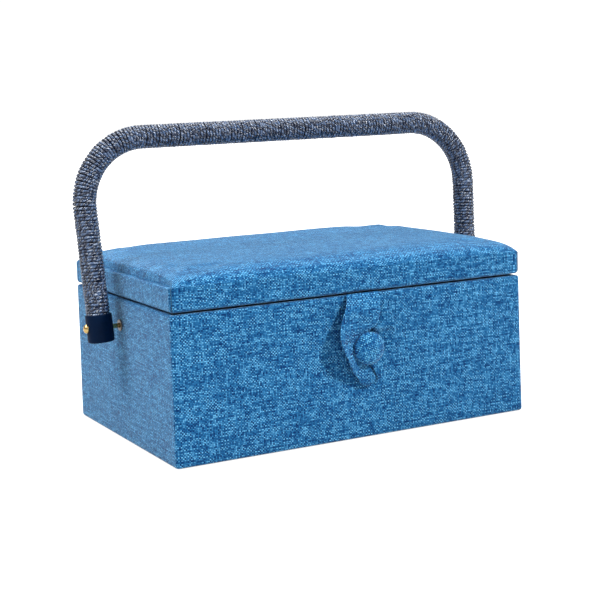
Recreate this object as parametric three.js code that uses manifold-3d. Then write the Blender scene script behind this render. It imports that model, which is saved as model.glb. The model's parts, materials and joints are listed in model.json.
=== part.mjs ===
// Fabric-covered sewing box: a padded hinged lid, a wound hoop handle that swings on two side bolts,
// a button and loop closure, and two lift-out trays inside.
// Millimetres, +Z up. The origin is the middle of the underside, +X along the length, -Y is the front.
import * as THREE from 'three';
import Module from 'manifold-3d';
import { mergeVertices } from 'three/addons/utils/BufferGeometryUtils.js';

const wasm = await Module();
wasm.setup();

// Body: half sizes are measured over the cloth at the rim, and the walls widen a little to the floor.
const BODY_HALF_X = 148.75;
const BODY_HALF_Y = 97.25;
const RIM_Z = 108.9;
const SPREAD = 1.25;
const CORNER_R = 3;
const SKIN = 0.9;
const GAP = 0.3;
const BOARD = 4;
const LINING = 0.7;
const PANEL = 1.1;

// Lid: a board in a frame of four rails, a foam pad on top, cloth over everything.
const LID_HALF_X = 148.5;
const LID_HALF_Y = 97;
const LID_LOW_Z = 110.2;
const LID_EDGE_Z = 128;
const LID_RISE = 14.5;
const LID_CORNER_R = 4;

// Back hinges.
const HINGE_Y = 100.5;
const HINGE_Z = 109.8;
const HINGE_X = 85;
const LEAF_HALF = 13;
const LEAF_REACH = 16;
const LEAF_THICK = 1.1;
const BARREL_R = 2.6;
const PIN_R = 1.1;
const SCREW_R = 1;
const SCREW_HEAD_R = 2.4;

// Handle: a hoop in one plane, splayed at the legs and leaning back as it rests.
const PIVOT_Z = 89;
const LEG_X = 165.5;
const LEG_SPLAY = THREE.MathUtils.degToRad(2.25);
const HANDLE_LEAN = THREE.MathUtils.degToRad(5.2);
const HOOP_RISE = 140;
const HOOP_CORNER_R = 49.3;
const CORE_R = 6;
const WRAP_R = 8.6;
const CAP_R = 9.25;
const CAP_LOW = -11;
const CAP_HIGH = 9.7;
const BOLT_R = 1.8;

// Closure: a covered button on the front and a loop of cloth that hangs from the lid.
const CLOSURE_X = 5;
const BUTTON_Z = 69;
const BUTTON_R = 12.4;
const BUTTON_THICK = 7.5;
const FLAP_THICK = 3.4;
const FLAP_TIP_Z = 39;

// Trays hang by their flanges from two ledges.
const TRAY_TOP_Z = 99.7;
const TRAY_DEPTH = 38;
const TRAY_HALF_X = 66.1;
const TRAY_HALF_Y = 89.6;
const TRAY_WELL_HALF_Y = 82.4;
const TRAY_WALL = 1.6;
const LEDGE_Z = 97.3;
const LEDGE_HIGH = 6;

const finish = (color, roughness, metalness = 0) =>
  new THREE.MeshStandardMaterial({ color, roughness, metalness });

const cloth = finish(0x3f7fb5, 0.92);
const darkCloth = finish(0x2f6698, 0.92);
const liningCloth = finish(0xe6e1d6, 0.9);
const fibreboard = finish(0xb08a5c, 0.85);
const foam = finish(0xe9e6da, 0.95);
const felt = finish(0x1f3350, 0.97);
const steel = finish(0xb9bdc2, 0.3, 1);
const brass = finish(0xc9a24a, 0.3, 1);
const navyPlastic = finish(0x0b1c38, 0.25);
const cord = finish(0x5f7594, 0.45);
const trayPlastic = finish(0xf1f1ec, 0.35);

// --- solids -----------------------------------------------------------------------------------

function toSolid(geometry) {
  const bare = geometry.clone();
  bare.deleteAttribute('normal');
  bare.deleteAttribute('uv');
  const merged = mergeVertices(bare, 1e-4);
  const vertProperties = new Float32Array(merged.attributes.position.array);
  const triVerts = new Uint32Array(merged.index.array);
  return new wasm.Manifold(new wasm.Mesh({ numProp: 3, vertProperties, triVerts }));
}

function toGeometry(solid) {
  const mesh = solid.getMesh();
  const geometry = new THREE.BufferGeometry();
  geometry.setAttribute('position', new THREE.BufferAttribute(new Float32Array(mesh.vertProperties), 3));
  geometry.setIndex(new THREE.BufferAttribute(new Uint32Array(mesh.triVerts), 1));
  return geometry;
}

function cut(geometry, ...tools) {
  let solid = toSolid(geometry);
  for (const tool of tools) solid = solid.subtract(toSolid(tool));
  return toGeometry(solid);
}

function join(geometry, ...others) {
  let solid = toSolid(geometry);
  for (const other of others) solid = solid.add(toSolid(other));
  return toGeometry(solid);
}

function block([x0, x1], [y0, y1], [z0, z1]) {
  const box = new THREE.BoxGeometry(x1 - x0, y1 - y0, z1 - z0);
  return box.translate((x0 + x1) / 2, (y0 + y1) / 2, (z0 + z1) / 2);
}

function roundedOutline(halfX, halfY, radius) {
  const shape = new THREE.Shape();
  shape.absarc(halfX - radius, halfY - radius, radius, 0, Math.PI / 2);
  shape.absarc(radius - halfX, halfY - radius, radius, Math.PI / 2, Math.PI);
  shape.absarc(radius - halfX, radius - halfY, radius, Math.PI, 1.5 * Math.PI);
  shape.absarc(halfX - radius, radius - halfY, radius, 1.5 * Math.PI, 2 * Math.PI);
  shape.closePath();
  return shape;
}

function prism(halfX, halfY, radius, [z0, z1], curveSegments = 4) {
  const outline = roundedOutline(halfX, halfY, radius);
  const solid = new THREE.ExtrudeGeometry(outline, { depth: z1 - z0, bevelEnabled: false, curveSegments });
  return solid.translate(0, 0, z0);
}

// A lathe turned about the X axis, its profile given as [radius, x] pairs.
function turnedAboutX(profile, segments = 14) {
  const points = profile.map(([r, x]) => new THREE.Vector2(r, x));
  return new THREE.LatheGeometry(points, segments).rotateZ(-Math.PI / 2);
}

// A lathe turned about the Y axis, its profile given as [radius, y] pairs.
function turnedAboutY(profile, segments = 16) {
  const points = profile.map(([r, y]) => new THREE.Vector2(r, y));
  return new THREE.LatheGeometry(points, segments);
}

function rodAlongX(radius, [x0, x1], segments = 14) {
  return turnedAboutX([[0, x0], [radius, x0], [radius, x1], [0, x1]], segments);
}

function rodAlongY(radius, [y0, y1], segments = 10) {
  return turnedAboutY([[0, y0], [radius, y0], [radius, y1], [0, y1]], segments);
}

// Walls widen evenly from the rim down to the floor.
function spreadWalls(geometry) {
  const position = geometry.attributes.position;
  for (let i = 0; i < position.count; i += 1) {
    const drop = 1 - position.getZ(i) / RIM_Z;
    position.setX(i, position.getX(i) * (1 + (SPREAD / BODY_HALF_X) * drop));
    position.setY(i, position.getY(i) * (1 + (SPREAD / BODY_HALF_Y) * drop));
  }
  return geometry;
}

// A rounded block whose top swells into a crown, built of rings that shrink towards the middle.
function crownedBlock(halfX, halfY, radius, [zLow, zEdge], rise) {
  const outline = roundedOutline(halfX, halfY, radius);
  const rim = denseRing(outline.getPoints(3), 60);
  const rings = [];
  rings.push(rim.map((p) => [p.x, p.y, zLow]));
  rings.push(rim.map((p) => [p.x, p.y, zEdge]));
  const steps = 6;
  for (let i = 1; i < steps; i += 1) {
    const s = 1 - (i / steps) ** 2;
    const z = zEdge + rise * (1 - s ** 6) ** (2 / 3);
    rings.push(rim.map((p) => [p.x * s, p.y * s, z]));
  }
  return ringSolid(rings, [0, 0, zLow], [0, 0, zEdge + rise]);
}

function denseRing(points, longestStep) {
  const ring = [];
  const corners = points.filter((p, i) => i === 0 || p.distanceTo(points[i - 1]) > 1e-4);
  if (corners[0].distanceTo(corners[corners.length - 1]) < 1e-4) corners.pop();
  corners.forEach((point, i) => {
    const next = corners[(i + 1) % corners.length];
    const pieces = Math.ceil(point.distanceTo(next) / longestStep);
    for (let k = 0; k < pieces; k += 1) ring.push(point.clone().lerp(next, k / pieces));
  });
  return ring;
}

function ringSolid(rings, lowMiddle, highMiddle) {
  const count = rings[0].length;
  const vertices = rings.flat(2).concat(lowMiddle, highMiddle);
  const low = rings.length * count;
  const high = low + 1;
  const faces = [];
  for (let i = 0; i < count; i += 1) {
    const j = (i + 1) % count;
    faces.push(low, j, i);
    for (let r = 0; r + 1 < rings.length; r += 1) {
      const a = r * count;
      const b = a + count;
      faces.push(a + i, a + j, b + j, a + i, b + j, b + i);
    }
    const last = (rings.length - 1) * count;
    faces.push(last + i, last + j, high);
  }
  const geometry = new THREE.BufferGeometry();
  geometry.setAttribute('position', new THREE.Float32BufferAttribute(vertices, 3));
  geometry.setIndex(faces);
  return geometry;
}

const model = new THREE.Group();

function place(name, geometry, material, parent = model) {
  const mesh = new THREE.Mesh(geometry, material);
  mesh.name = name;
  parent.add(mesh);
  return mesh;
}

// --- holes that several pieces share ------------------------------------------------------------

const SIDES = [['left', -1], ['right', 1]];

function boltHole(side, from, to) {
  const ends = [side * from, side * to].sort((a, b) => a - b);
  return rodAlongX(BOLT_R + GAP, ends).translate(0, 0, PIVOT_Z);
}

function shankHole() {
  return rodAlongY(2.1, [-105, -80]).translate(CLOSURE_X, 0, BUTTON_Z);
}

// The screws of both hinges: two in each body leaf and two in each lid leaf.
function screwPlaces() {
  const places = [];
  for (const [side, sign] of SIDES) {
    for (const [end, offset] of [['outer', 7.5 * sign], ['inner', -7.5 * sign]]) {
      places.push({ name: `${side}_hinge_body_screw_${end}`, on: 'body', x: sign * HINGE_X + offset, z: 100 });
      places.push({ name: `${side}_hinge_lid_screw_${end}`, on: 'lid', x: sign * HINGE_X + offset, z: 119.6 });
    }
  }
  return places;
}

const BODY_LEAF_Y = 97.8;
const LID_LEAF_Y = 97.4;
const leafY = { body: BODY_LEAF_Y, lid: LID_LEAF_Y };
const SCREW_TIP_Y = 94.2;

function screwHoles(on) {
  const radius = SCREW_R + GAP;
  return screwPlaces()
    .filter((screw) => screw.on === on)
    .map((screw) => rodAlongY(radius, [SCREW_TIP_Y - GAP, HINGE_Y]).translate(screw.x, 0, screw.z));
}

// --- body ----------------------------------------------------------------------------------------

const BOARD_X = BODY_HALF_X - SKIN - GAP;
const BOARD_Y = BODY_HALF_Y - SKIN - GAP;
const LINING_X = BOARD_X - BOARD - GAP;
const LINING_Y = BOARD_Y - BOARD - GAP;
const ROOM_X = LINING_X - LINING;
const ROOM_Y = LINING_Y - LINING;
const BOARD_LOW_Z = 1.4;
const BOARD_HIGH_Z = RIM_Z - SKIN - GAP;

function bodyCover() {
  const outer = prism(BODY_HALF_X, BODY_HALF_Y, CORNER_R, [0.2, RIM_Z]);
  const inner = prism(BODY_HALF_X - SKIN, BODY_HALF_Y - SKIN, CORNER_R - SKIN, [BOARD_LOW_Z - GAP, RIM_Z - SKIN]);
  const mouth = prism(ROOM_X, ROOM_Y, 1, [RIM_Z - 2, RIM_Z + 2]);
  const under = prism(BODY_HALF_X - 13, BODY_HALF_Y - 13, 2, [-1, 2]);
  const shell = spreadWalls(cut(outer, inner, mouth, under));
  const bolts = SIDES.map(([, side]) => boltHole(side, 140, 155));
  return cut(shell, ...bolts, shankHole(), ...screwHoles('body'));
}

function longBoard(back) {
  const corners = prism(BOARD_X, BOARD_Y, 2, [BOARD_LOW_Z, BOARD_HIGH_Z]);
  const keep = back ? [BOARD_Y - BOARD, BOARD_Y + 1] : [-BOARD_Y - 1, BOARD - BOARD_Y];
  const strip = block([-BOARD_X - 1, BOARD_X + 1], keep, [0, RIM_Z]);
  const board = toGeometry(toSolid(corners).intersect(toSolid(strip)));
  return spreadWalls(board);
}

function sideBoard(side) {
  const ends = [side * BOARD_X, side * (BOARD_X - BOARD)].sort((a, b) => a - b);
  const reach = BOARD_Y - BOARD - GAP;
  const board = spreadWalls(block(ends, [-reach, reach], [BOARD_LOW_Z, BOARD_HIGH_Z]));
  return cut(board, boltHole(side, 140, 155));
}

function baseBoard() {
  const x = BOARD_X - BOARD - GAP;
  const y = BOARD_Y - BOARD - GAP;
  return spreadWalls(block([-x, x], [-y, y], [BOARD_LOW_Z, BOARD_LOW_Z + BOARD]));
}

function bodyLining() {
  const floorZ = BOARD_LOW_Z + BOARD + GAP;
  const outer = prism(LINING_X, LINING_Y, 1, [floorZ, BOARD_HIGH_Z], 2);
  const room = prism(ROOM_X, ROOM_Y, 0.5, [floorZ + LINING, RIM_Z + 1], 2);
  const lining = spreadWalls(cut(outer, room));
  const bolts = SIDES.map(([, side]) => boltHole(side, 140, 155));
  return cut(lining, ...bolts, shankHole());
}

function ledge(back) {
  const outer = ROOM_Y - GAP;
  const inner = TRAY_WELL_HALF_Y + 1.1;
  const reach = ROOM_X - 2;
  const y = back ? [inner, outer] : [-outer, -inner];
  return block([-reach, reach], y, [LEDGE_Z - LEDGE_HIGH, LEDGE_Z]);
}

function addBody() {
  place('body_cover', bodyCover(), cloth);
  place('front_board', cut(longBoard(false), shankHole()), fibreboard);
  place('back_board', cut(longBoard(true), ...screwHoles('body')), fibreboard);
  for (const [name, side] of SIDES) place(`${name}_board`, sideBoard(side), fibreboard);
  place('base_board', baseBoard(), fibreboard);
  const x = BODY_HALF_X - 13 - GAP;
  const y = BODY_HALF_Y - 13 - GAP;
  place('base_panel', prism(x, y, 2, [0, PANEL]), darkCloth);
  place('body_lining', bodyLining(), liningCloth);
  place('front_tray_ledge', ledge(false), fibreboard);
  place('back_tray_ledge', ledge(true), fibreboard);
}

// --- lid -------------------------------------------------------------------------------------------

const RAIL_X = LID_HALF_X - SKIN - GAP;
const RAIL_Y = LID_HALF_Y - SKIN - GAP;
const RAIL_LOW_Z = LID_LOW_Z + SKIN + GAP;
const RAIL_HIGH_Z = LID_EDGE_Z - 0.6;
const LID_LINING_X = RAIL_X - BOARD - GAP;
const LID_LINING_Y = RAIL_Y - BOARD - GAP;
const CEILING_Z = RAIL_HIGH_Z - BOARD - GAP - LINING;

function lidCover() {
  const outer = crownedBlock(LID_HALF_X, LID_HALF_Y, LID_CORNER_R, [LID_LOW_Z, LID_EDGE_Z], LID_RISE);
  const inside = [LID_LOW_Z + SKIN, LID_EDGE_Z - GAP];
  const radius = LID_CORNER_R - SKIN;
  const inner = crownedBlock(LID_HALF_X - SKIN, LID_HALF_Y - SKIN, radius, inside, LID_RISE - SKIN);
  const mouth = prism(LID_LINING_X - LINING, LID_LINING_Y - LINING, 1, [LID_LOW_Z - 2, LID_LOW_Z + 2]);
  return cut(outer, inner, mouth, ...screwHoles('lid'));
}

function lidRail(back) {
  const frame = prism(RAIL_X, RAIL_Y, LID_CORNER_R - SKIN - GAP, [RAIL_LOW_Z, RAIL_HIGH_Z]);
  const keep = back ? [RAIL_Y - BOARD, RAIL_Y + 1] : [-RAIL_Y - 1, BOARD - RAIL_Y];
  const strip = block([-RAIL_X - 1, RAIL_X + 1], keep, [RAIL_LOW_Z - 1, RAIL_HIGH_Z + 1]);
  return toGeometry(toSolid(frame).intersect(toSolid(strip)));
}

function lidSideRail(side) {
  const ends = [side * RAIL_X, side * (RAIL_X - BOARD)].sort((a, b) => a - b);
  return block(ends, [-LID_LINING_Y, LID_LINING_Y], [RAIL_LOW_Z, RAIL_HIGH_Z]);
}

function lidFoam() {
  const x = LID_HALF_X - SKIN - GAP - 0.5;
  const y = LID_HALF_Y - SKIN - GAP - 0.5;
  const edge = [RAIL_HIGH_Z + GAP, LID_EDGE_Z];
  return crownedBlock(x, y, LID_CORNER_R - SKIN - GAP, edge, LID_RISE - SKIN - 3 * GAP);
}

function lidLining() {
  const outer = prism(LID_LINING_X, LID_LINING_Y, 1, [RAIL_LOW_Z, CEILING_Z + LINING], 2);
  const room = prism(LID_LINING_X - LINING, LID_LINING_Y - LINING, 0.5, [RAIL_LOW_Z - 1, CEILING_Z], 2);
  return cut(outer, room);
}

const POCKET_X = [-12, 128];
const POCKET_Y = [-22, 82];
const POCKET_LOW_Z = 115.6;
const POCKET_WALL = 1.3;

// The mouth looks to the front of the lid, which is up once the lid stands open.
function lidPocket() {
  const top = CEILING_Z - GAP;
  const pouch = block(POCKET_X, POCKET_Y, [POCKET_LOW_Z, top]);
  const x = [POCKET_X[0] + POCKET_WALL, POCKET_X[1] - POCKET_WALL];
  const y = [POCKET_Y[0] - 1, POCKET_Y[1] - POCKET_WALL];
  return cut(pouch, block(x, y, [POCKET_LOW_Z + POCKET_WALL, top + 1]));
}

function pincushion() {
  const top = CEILING_Z - GAP;
  const pad = crownedBlock(38, 30, 8, [0, 5], 6);
  return pad.rotateX(Math.PI).translate(-82, 8, top);
}

function flapOutline() {
  const top = LID_LOW_Z - GAP;
  const shape = new THREE.Shape();
  shape.moveTo(-14, top);
  shape.bezierCurveTo(-15, 101, -24.5, 92, -24.5, 80);
  shape.bezierCurveTo(-24.5, 66, -13, 52, -3.5, FLAP_TIP_Z + 2.5);
  shape.bezierCurveTo(0, FLAP_TIP_Z - 0.8, 6, FLAP_TIP_Z - 0.8, 9, FLAP_TIP_Z + 4);
  shape.bezierCurveTo(17, 52, 25, 62, 25, 75);
  shape.bezierCurveTo(25, 92, 15, 101, 13.5, top);
  shape.closePath();
  const slit = new THREE.Path();
  slit.absarc(0, BUTTON_Z, 2, 0, Math.PI);
  slit.lineTo(2.4, 49);
  slit.lineTo(5, 48);
  slit.closePath();
  shape.holes.push(slit);
  return shape;
}

function closureFlap() {
  const options = { depth: FLAP_THICK, bevelEnabled: false, curveSegments: 6 };
  const flap = new THREE.ExtrudeGeometry(flapOutline(), options);
  return flap.rotateX(Math.PI / 2).translate(CLOSURE_X, -98.4, 0);
}

function addLid() {
  place('lid_cover', lidCover(), cloth);
  place('lid_front_rail', lidRail(false), fibreboard);
  place('lid_back_rail', cut(lidRail(true), ...screwHoles('lid')), fibreboard);
  for (const [name, side] of SIDES) place(`lid_${name}_rail`, lidSideRail(side), fibreboard);
  const x = [-LID_LINING_X, LID_LINING_X];
  const y = [-LID_LINING_Y, LID_LINING_Y];
  place('lid_board', block(x, y, [RAIL_HIGH_Z - BOARD, RAIL_HIGH_Z]), fibreboard);
  place('lid_foam', lidFoam(), foam);
  place('lid_lining', lidLining(), liningCloth);
  place('lid_pocket', lidPocket(), liningCloth);
  place('pincushion', pincushion(), felt);
  place('closure_flap', closureFlap(), cloth);
}

// --- closure button -----------------------------------------------------------------------------------

function addButton() {
  const back = -98.4 - FLAP_THICK - 0.4;
  const front = back - BUTTON_THICK;
  const dome = [
    [0, back], [BUTTON_R - 1.4, back], [BUTTON_R, back - 1.6], [BUTTON_R - 0.6, back - 3.6],
    [BUTTON_R - 3.4, back - 5.9], [BUTTON_R * 0.4, front + 0.3], [0, front],
  ].reverse();
  place('closure_button', turnedAboutY(dome, 24).translate(CLOSURE_X, 0, BUTTON_Z), cloth);
  const inside = GAP - ROOM_Y + 0.4;
  const shank = [
    [0, back + GAP], [1.6, back + GAP], [1.6, inside], [6, inside], [6, inside + 1], [0, inside + 1],
  ];
  place('button_shank', turnedAboutY(shank, 12).translate(CLOSURE_X, 0, BUTTON_Z), steel);
}

// --- hinges ---------------------------------------------------------------------------------------------

const KNUCKLE = 4.1;
const KNUCKLE_GAP = 0.4;

function barrel([x0, x1]) {
  return rodAlongX(BARREL_R, [x0, x1]).translate(0, HINGE_Y, HINGE_Z);
}

function hingeLeaf(on) {
  const y = [leafY[on], leafY[on] + LEAF_THICK];
  const up = on === 'lid' ? 1 : -1;
  const plateZ = [HINGE_Z + up * (BARREL_R + GAP), HINGE_Z + up * LEAF_REACH].sort((a, b) => a - b);
  const tongueZ = [HINGE_Z, HINGE_Z + up * (BARREL_R + 1)].sort((a, b) => a - b);
  const inner = KNUCKLE + KNUCKLE_GAP;
  const knuckles = on === 'lid' ? [[-KNUCKLE, KNUCKLE]] : [[-LEAF_HALF, -inner], [inner, LEAF_HALF]];
  const parts = knuckles.flatMap((span) => [block(span, y, tongueZ), barrel(span)]);
  const leaf = join(block([-LEAF_HALF, LEAF_HALF], y, plateZ), ...parts);
  const bore = rodAlongX(PIN_R + GAP, [-LEAF_HALF - 1, LEAF_HALF + 1]).translate(0, HINGE_Y, HINGE_Z);
  return cut(leaf, bore);
}

function addHinges() {
  for (const [name, side] of SIDES) {
    const x = side * HINGE_X;
    for (const on of ['body', 'lid']) {
      const leaf = hingeLeaf(on).translate(x, 0, 0);
      place(`${name}_hinge_${on}_leaf`, cut(leaf, ...screwHoles(on)), steel);
    }
    const pin = rodAlongX(PIN_R, [-LEAF_HALF, LEAF_HALF], 12).translate(x, HINGE_Y, HINGE_Z);
    place(`${name}_hinge_pin`, pin, steel);
  }
  for (const screw of screwPlaces()) {
    const seat = leafY[screw.on] + LEAF_THICK + GAP;
    const profile = [
      [0, SCREW_TIP_Y], [SCREW_R, SCREW_TIP_Y], [SCREW_R, seat], [SCREW_HEAD_R, seat],
      [SCREW_HEAD_R - 0.8, seat + 0.9], [0, seat + 1.1],
    ];
    place(screw.name, turnedAboutY(profile, 8).translate(screw.x, 0, screw.z), steel);
  }
}

// --- handle ---------------------------------------------------------------------------------------------

// The hoop's centre line in its own upright plane, measured from the pivot: up one leg, over, down the other.
function hoopPath(lowEnd) {
  const arcUp = HOOP_RISE - HOOP_CORNER_R;
  const arcX = LEG_X + arcUp * Math.tan(LEG_SPLAY) - HOOP_CORNER_R / Math.cos(LEG_SPLAY);
  const points = [];
  const legSteps = 4;
  const arcSteps = 10;
  const tangentUp = arcUp + HOOP_CORNER_R * Math.sin(-LEG_SPLAY);
  for (let i = 0; i < legSteps; i += 1) {
    const up = lowEnd + ((tangentUp - lowEnd) * i) / legSteps;
    points.push([LEG_X + up * Math.tan(LEG_SPLAY), up]);
  }
  for (let i = 0; i <= arcSteps; i += 1) {
    const angle = -LEG_SPLAY + ((Math.PI / 2 + LEG_SPLAY) * i) / arcSteps;
    points.push([arcX + HOOP_CORNER_R * Math.cos(angle), arcUp + HOOP_CORNER_R * Math.sin(angle)]);
  }
  const right = points.map(([x, z]) => new THREE.Vector3(x, 0, z));
  const middle = [60, 0, -60].map((x) => new THREE.Vector3(x, 0, HOOP_RISE));
  const left = points.map(([x, z]) => new THREE.Vector3(-x, 0, z)).reverse();
  return [...right, ...middle, ...left];
}

// A round bar or tube swept along a list of points, with a section square to the path at each one.
function sweptTube(points, outerR, innerR, sides) {
  const tangent = (i) => {
    const a = points[Math.max(i - 1, 0)];
    const b = points[Math.min(i + 1, points.length - 1)];
    return b.clone().sub(a).normalize();
  };
  const across = new THREE.Vector3(0, 1, 0);
  const ring = (i, radius) => {
    const up = across.clone().cross(tangent(i));
    return Array.from({ length: sides }, (unused, k) => {
      const angle = (2 * Math.PI * k) / sides;
      return points[i].clone()
        .addScaledVector(across, radius * Math.cos(angle))
        .addScaledVector(up, radius * Math.sin(angle));
    });
  };
  const rings = points.map((point, i) => ring(i, outerR));
  if (innerR > 0) {
    for (let i = points.length - 1; i >= 0; i -= 1) rings.push(ring(i, innerR));
  }
  const vertices = rings.flat().flatMap((p) => [p.x, p.y, p.z]);
  const faces = [];
  const loops = innerR > 0 ? rings.length : rings.length - 1;
  for (let r = 0; r < loops; r += 1) {
    const a = r * sides;
    const b = ((r + 1) % rings.length) * sides;
    for (let k = 0; k < sides; k += 1) {
      const m = (k + 1) % sides;
      faces.push(a + k, b + m, a + m, a + k, b + k, b + m);
    }
  }
  if (innerR === 0) {
    const last = (rings.length - 1) * sides;
    for (let k = 1; k + 1 < sides; k += 1) {
      faces.push(0, k, k + 1);
      faces.push(last, last + k + 1, last + k);
    }
  }
  const geometry = new THREE.BufferGeometry();
  geometry.setAttribute('position', new THREE.Float32BufferAttribute(vertices, 3));
  geometry.setIndex(faces);
  return geometry;
}

function handleCap(side) {
  const profile = [
    [0, CAP_LOW], [CAP_R - 3, CAP_LOW], [CAP_R - 0.9, CAP_LOW + 0.9], [CAP_R, CAP_LOW + 3], [CAP_R, CAP_HIGH],
    [CORE_R + GAP, CAP_HIGH], [CORE_R + GAP, CAP_LOW + 3], [0, CAP_LOW + 3],
  ];
  const cap = turnedAboutY(profile, 20).rotateX(Math.PI / 2);
  cap.rotateY(side * LEG_SPLAY).translate(side * LEG_X, 0, 0);
  return cut(cap, handleBoltHole(side));
}

function handleBoltHole(side) {
  const ends = [side * (LEG_X - 15), side * (LEG_X + 15)].sort((a, b) => a - b);
  return rodAlongX(BOLT_R + GAP, ends);
}

function addHandle() {
  const handle = new THREE.Group();
  handle.position.set(0, 0, PIVOT_Z);
  handle.rotation.x = -HANDLE_LEAN;
  const core = sweptTube(hoopPath(CAP_LOW + 3 + GAP), CORE_R, 0, 10);
  place('handle_core', cut(core, handleBoltHole(-1), handleBoltHole(1)), steel, handle);
  place('handle_wrap', sweptTube(hoopPath(CAP_HIGH + GAP), WRAP_R, CORE_R + 2 * GAP, 12), cord, handle);
  for (const [name, side] of SIDES) place(`${name}_handle_cap`, handleCap(side), navyPlastic, handle);
  model.add(handle);
}

// Each bolt runs from a domed head outside the cap, through the cap and the side, to a nut inside.
function addPivotBolts() {
  const headX = LEG_X + CAP_R + 0.5;
  const clothX = BODY_HALF_X + SPREAD * (1 - PIVOT_Z / RIM_Z);
  const outerWasherX = clothX + GAP;
  const innerWasherX = ROOM_X - GAP;
  const nutX = innerWasherX - 0.8 - GAP;
  const tipX = nutX - 3 - 1.3;
  const bolt = [
    [0, tipX], [BOLT_R, tipX], [BOLT_R, headX], [3.1, headX], [2.8, headX + 1.4], [1.7, headX + 2.6],
    [0, headX + 3.1],
  ];
  const ring = (outer, [x0, x1], sides) => {
    const inner = BOLT_R + GAP;
    return turnedAboutX([[inner, x0], [outer, x0], [outer, x1], [inner, x1], [inner, x0]], sides);
  };
  for (const [name, side] of SIDES) {
    const pieces = [
      ['bolt', turnedAboutX(bolt, 16), brass],
      ['outer_washer', ring(4.5, [outerWasherX, outerWasherX + 0.9], 14), steel],
      ['inner_washer', ring(4.5, [innerWasherX - 0.8, innerWasherX], 14), steel],
      ['nut', ring(4, [nutX - 3, nutX], 6), steel],
    ];
    for (const [piece, geometry, material] of pieces) {
      if (side < 0) geometry.rotateZ(Math.PI);
      place(`${name}_pivot_${piece}`, geometry.translate(0, 0, PIVOT_Z), material);
    }
  }
}

// --- trays --------------------------------------------------------------------------------------------------

const LEFT_ROWS = [{ share: 1, cells: 2 }, { share: 1, cells: 2 }, { share: 1, cells: 2 }];
const RIGHT_ROWS = [{ share: 1, cells: 1 }, { share: 1, cells: 3 }, { share: 1, cells: 2 }];

function tray(rows) {
  const lowZ = TRAY_TOP_Z - TRAY_DEPTH;
  const wellHalfX = TRAY_HALF_X - 1.6;
  const flange = prism(TRAY_HALF_X, TRAY_HALF_Y, 5, [TRAY_TOP_Z - 2, TRAY_TOP_Z], 3);
  const well = prism(wellHalfX, TRAY_WELL_HALF_Y, 5, [lowZ, TRAY_TOP_Z], 3);
  const insideX = wellHalfX - TRAY_WALL;
  const insideY = TRAY_WELL_HALF_Y - TRAY_WALL;
  const shares = rows.reduce((sum, row) => sum + row.share, 0);
  const free = 2 * insideY - TRAY_WALL * (rows.length - 1);
  const pockets = [];
  let y = -insideY;
  for (const row of rows) {
    const deep = (free * row.share) / shares;
    const wide = (2 * insideX - TRAY_WALL * (row.cells - 1)) / row.cells;
    for (let cell = 0; cell < row.cells; cell += 1) {
      const x = -insideX + cell * (wide + TRAY_WALL);
      const pocket = prism(wide / 2, deep / 2, 3, [lowZ + TRAY_WALL, TRAY_TOP_Z + 1], 2);
      pockets.push(pocket.translate(x + wide / 2, y + deep / 2, 0));
    }
    y += deep + TRAY_WALL;
  }
  return cut(join(flange, well), ...pockets);
}

function addTrays() {
  const middle = TRAY_HALF_X + 1.7;
  place('left_tray', tray(LEFT_ROWS).translate(-middle, 0, 0), trayPlastic);
  place('right_tray', tray(RIGHT_ROWS).translate(middle, 0, 0), trayPlastic);
}

addBody();
addLid();
addButton();
addHinges();
addHandle();
addPivotBolts();
addTrays();

export default model;
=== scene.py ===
"""Cloth-covered sewing box with a padded lid, a wound handle and two lift-out trays.

Every piece is built in metres around the loaded frame: +X is the length, -Y the front, +Z up.
"""

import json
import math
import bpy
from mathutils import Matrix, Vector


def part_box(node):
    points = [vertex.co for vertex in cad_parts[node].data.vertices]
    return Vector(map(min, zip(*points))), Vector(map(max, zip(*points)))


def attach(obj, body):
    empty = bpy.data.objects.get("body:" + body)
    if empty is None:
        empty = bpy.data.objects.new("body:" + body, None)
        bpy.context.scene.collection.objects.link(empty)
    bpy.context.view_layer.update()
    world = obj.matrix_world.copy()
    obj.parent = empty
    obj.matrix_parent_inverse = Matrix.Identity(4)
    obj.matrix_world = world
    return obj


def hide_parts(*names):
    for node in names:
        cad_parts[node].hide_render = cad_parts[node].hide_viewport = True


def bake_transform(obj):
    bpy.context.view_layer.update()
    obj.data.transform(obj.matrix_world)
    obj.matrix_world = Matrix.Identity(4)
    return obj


bl_info = {
    "name": "Sewing Box with Trays",
    "version": (1, 0, 0),
    "blender": (4, 5, 0),
    "location": "View3D > Sidebar > Sewing Box",
    "description": "Builds the cloth, cord, metal and plastic of a sewing box around its frame",
    "category": "Add Mesh",
}

import bmesh
import bpy
import numpy as np
from mathutils import Matrix, Vector, noise

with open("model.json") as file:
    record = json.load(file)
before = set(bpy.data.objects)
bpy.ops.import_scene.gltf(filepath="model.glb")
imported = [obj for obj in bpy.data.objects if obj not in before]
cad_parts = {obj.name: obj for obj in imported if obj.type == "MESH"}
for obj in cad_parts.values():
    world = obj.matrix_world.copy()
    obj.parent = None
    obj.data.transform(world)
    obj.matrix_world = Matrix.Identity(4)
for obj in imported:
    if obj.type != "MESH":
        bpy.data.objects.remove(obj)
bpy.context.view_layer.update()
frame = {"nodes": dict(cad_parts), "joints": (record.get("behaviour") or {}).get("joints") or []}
MM = 0.001


# --- sizes and colours ---------------------------------------------------------------------------


def length(name, description, default):
    return bpy.props.FloatProperty(
        name=name, description=description, default=default, unit="LENGTH", precision=5)


def angle(name, description, degrees):
    return bpy.props.FloatProperty(
        name=name, description=description, default=math.radians(degrees), subtype="ANGLE")


def colour(name, description, default):
    return bpy.props.FloatVectorProperty(
        name=name, description=description, default=default, size=3, subtype="COLOR", min=0, max=1)


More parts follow.
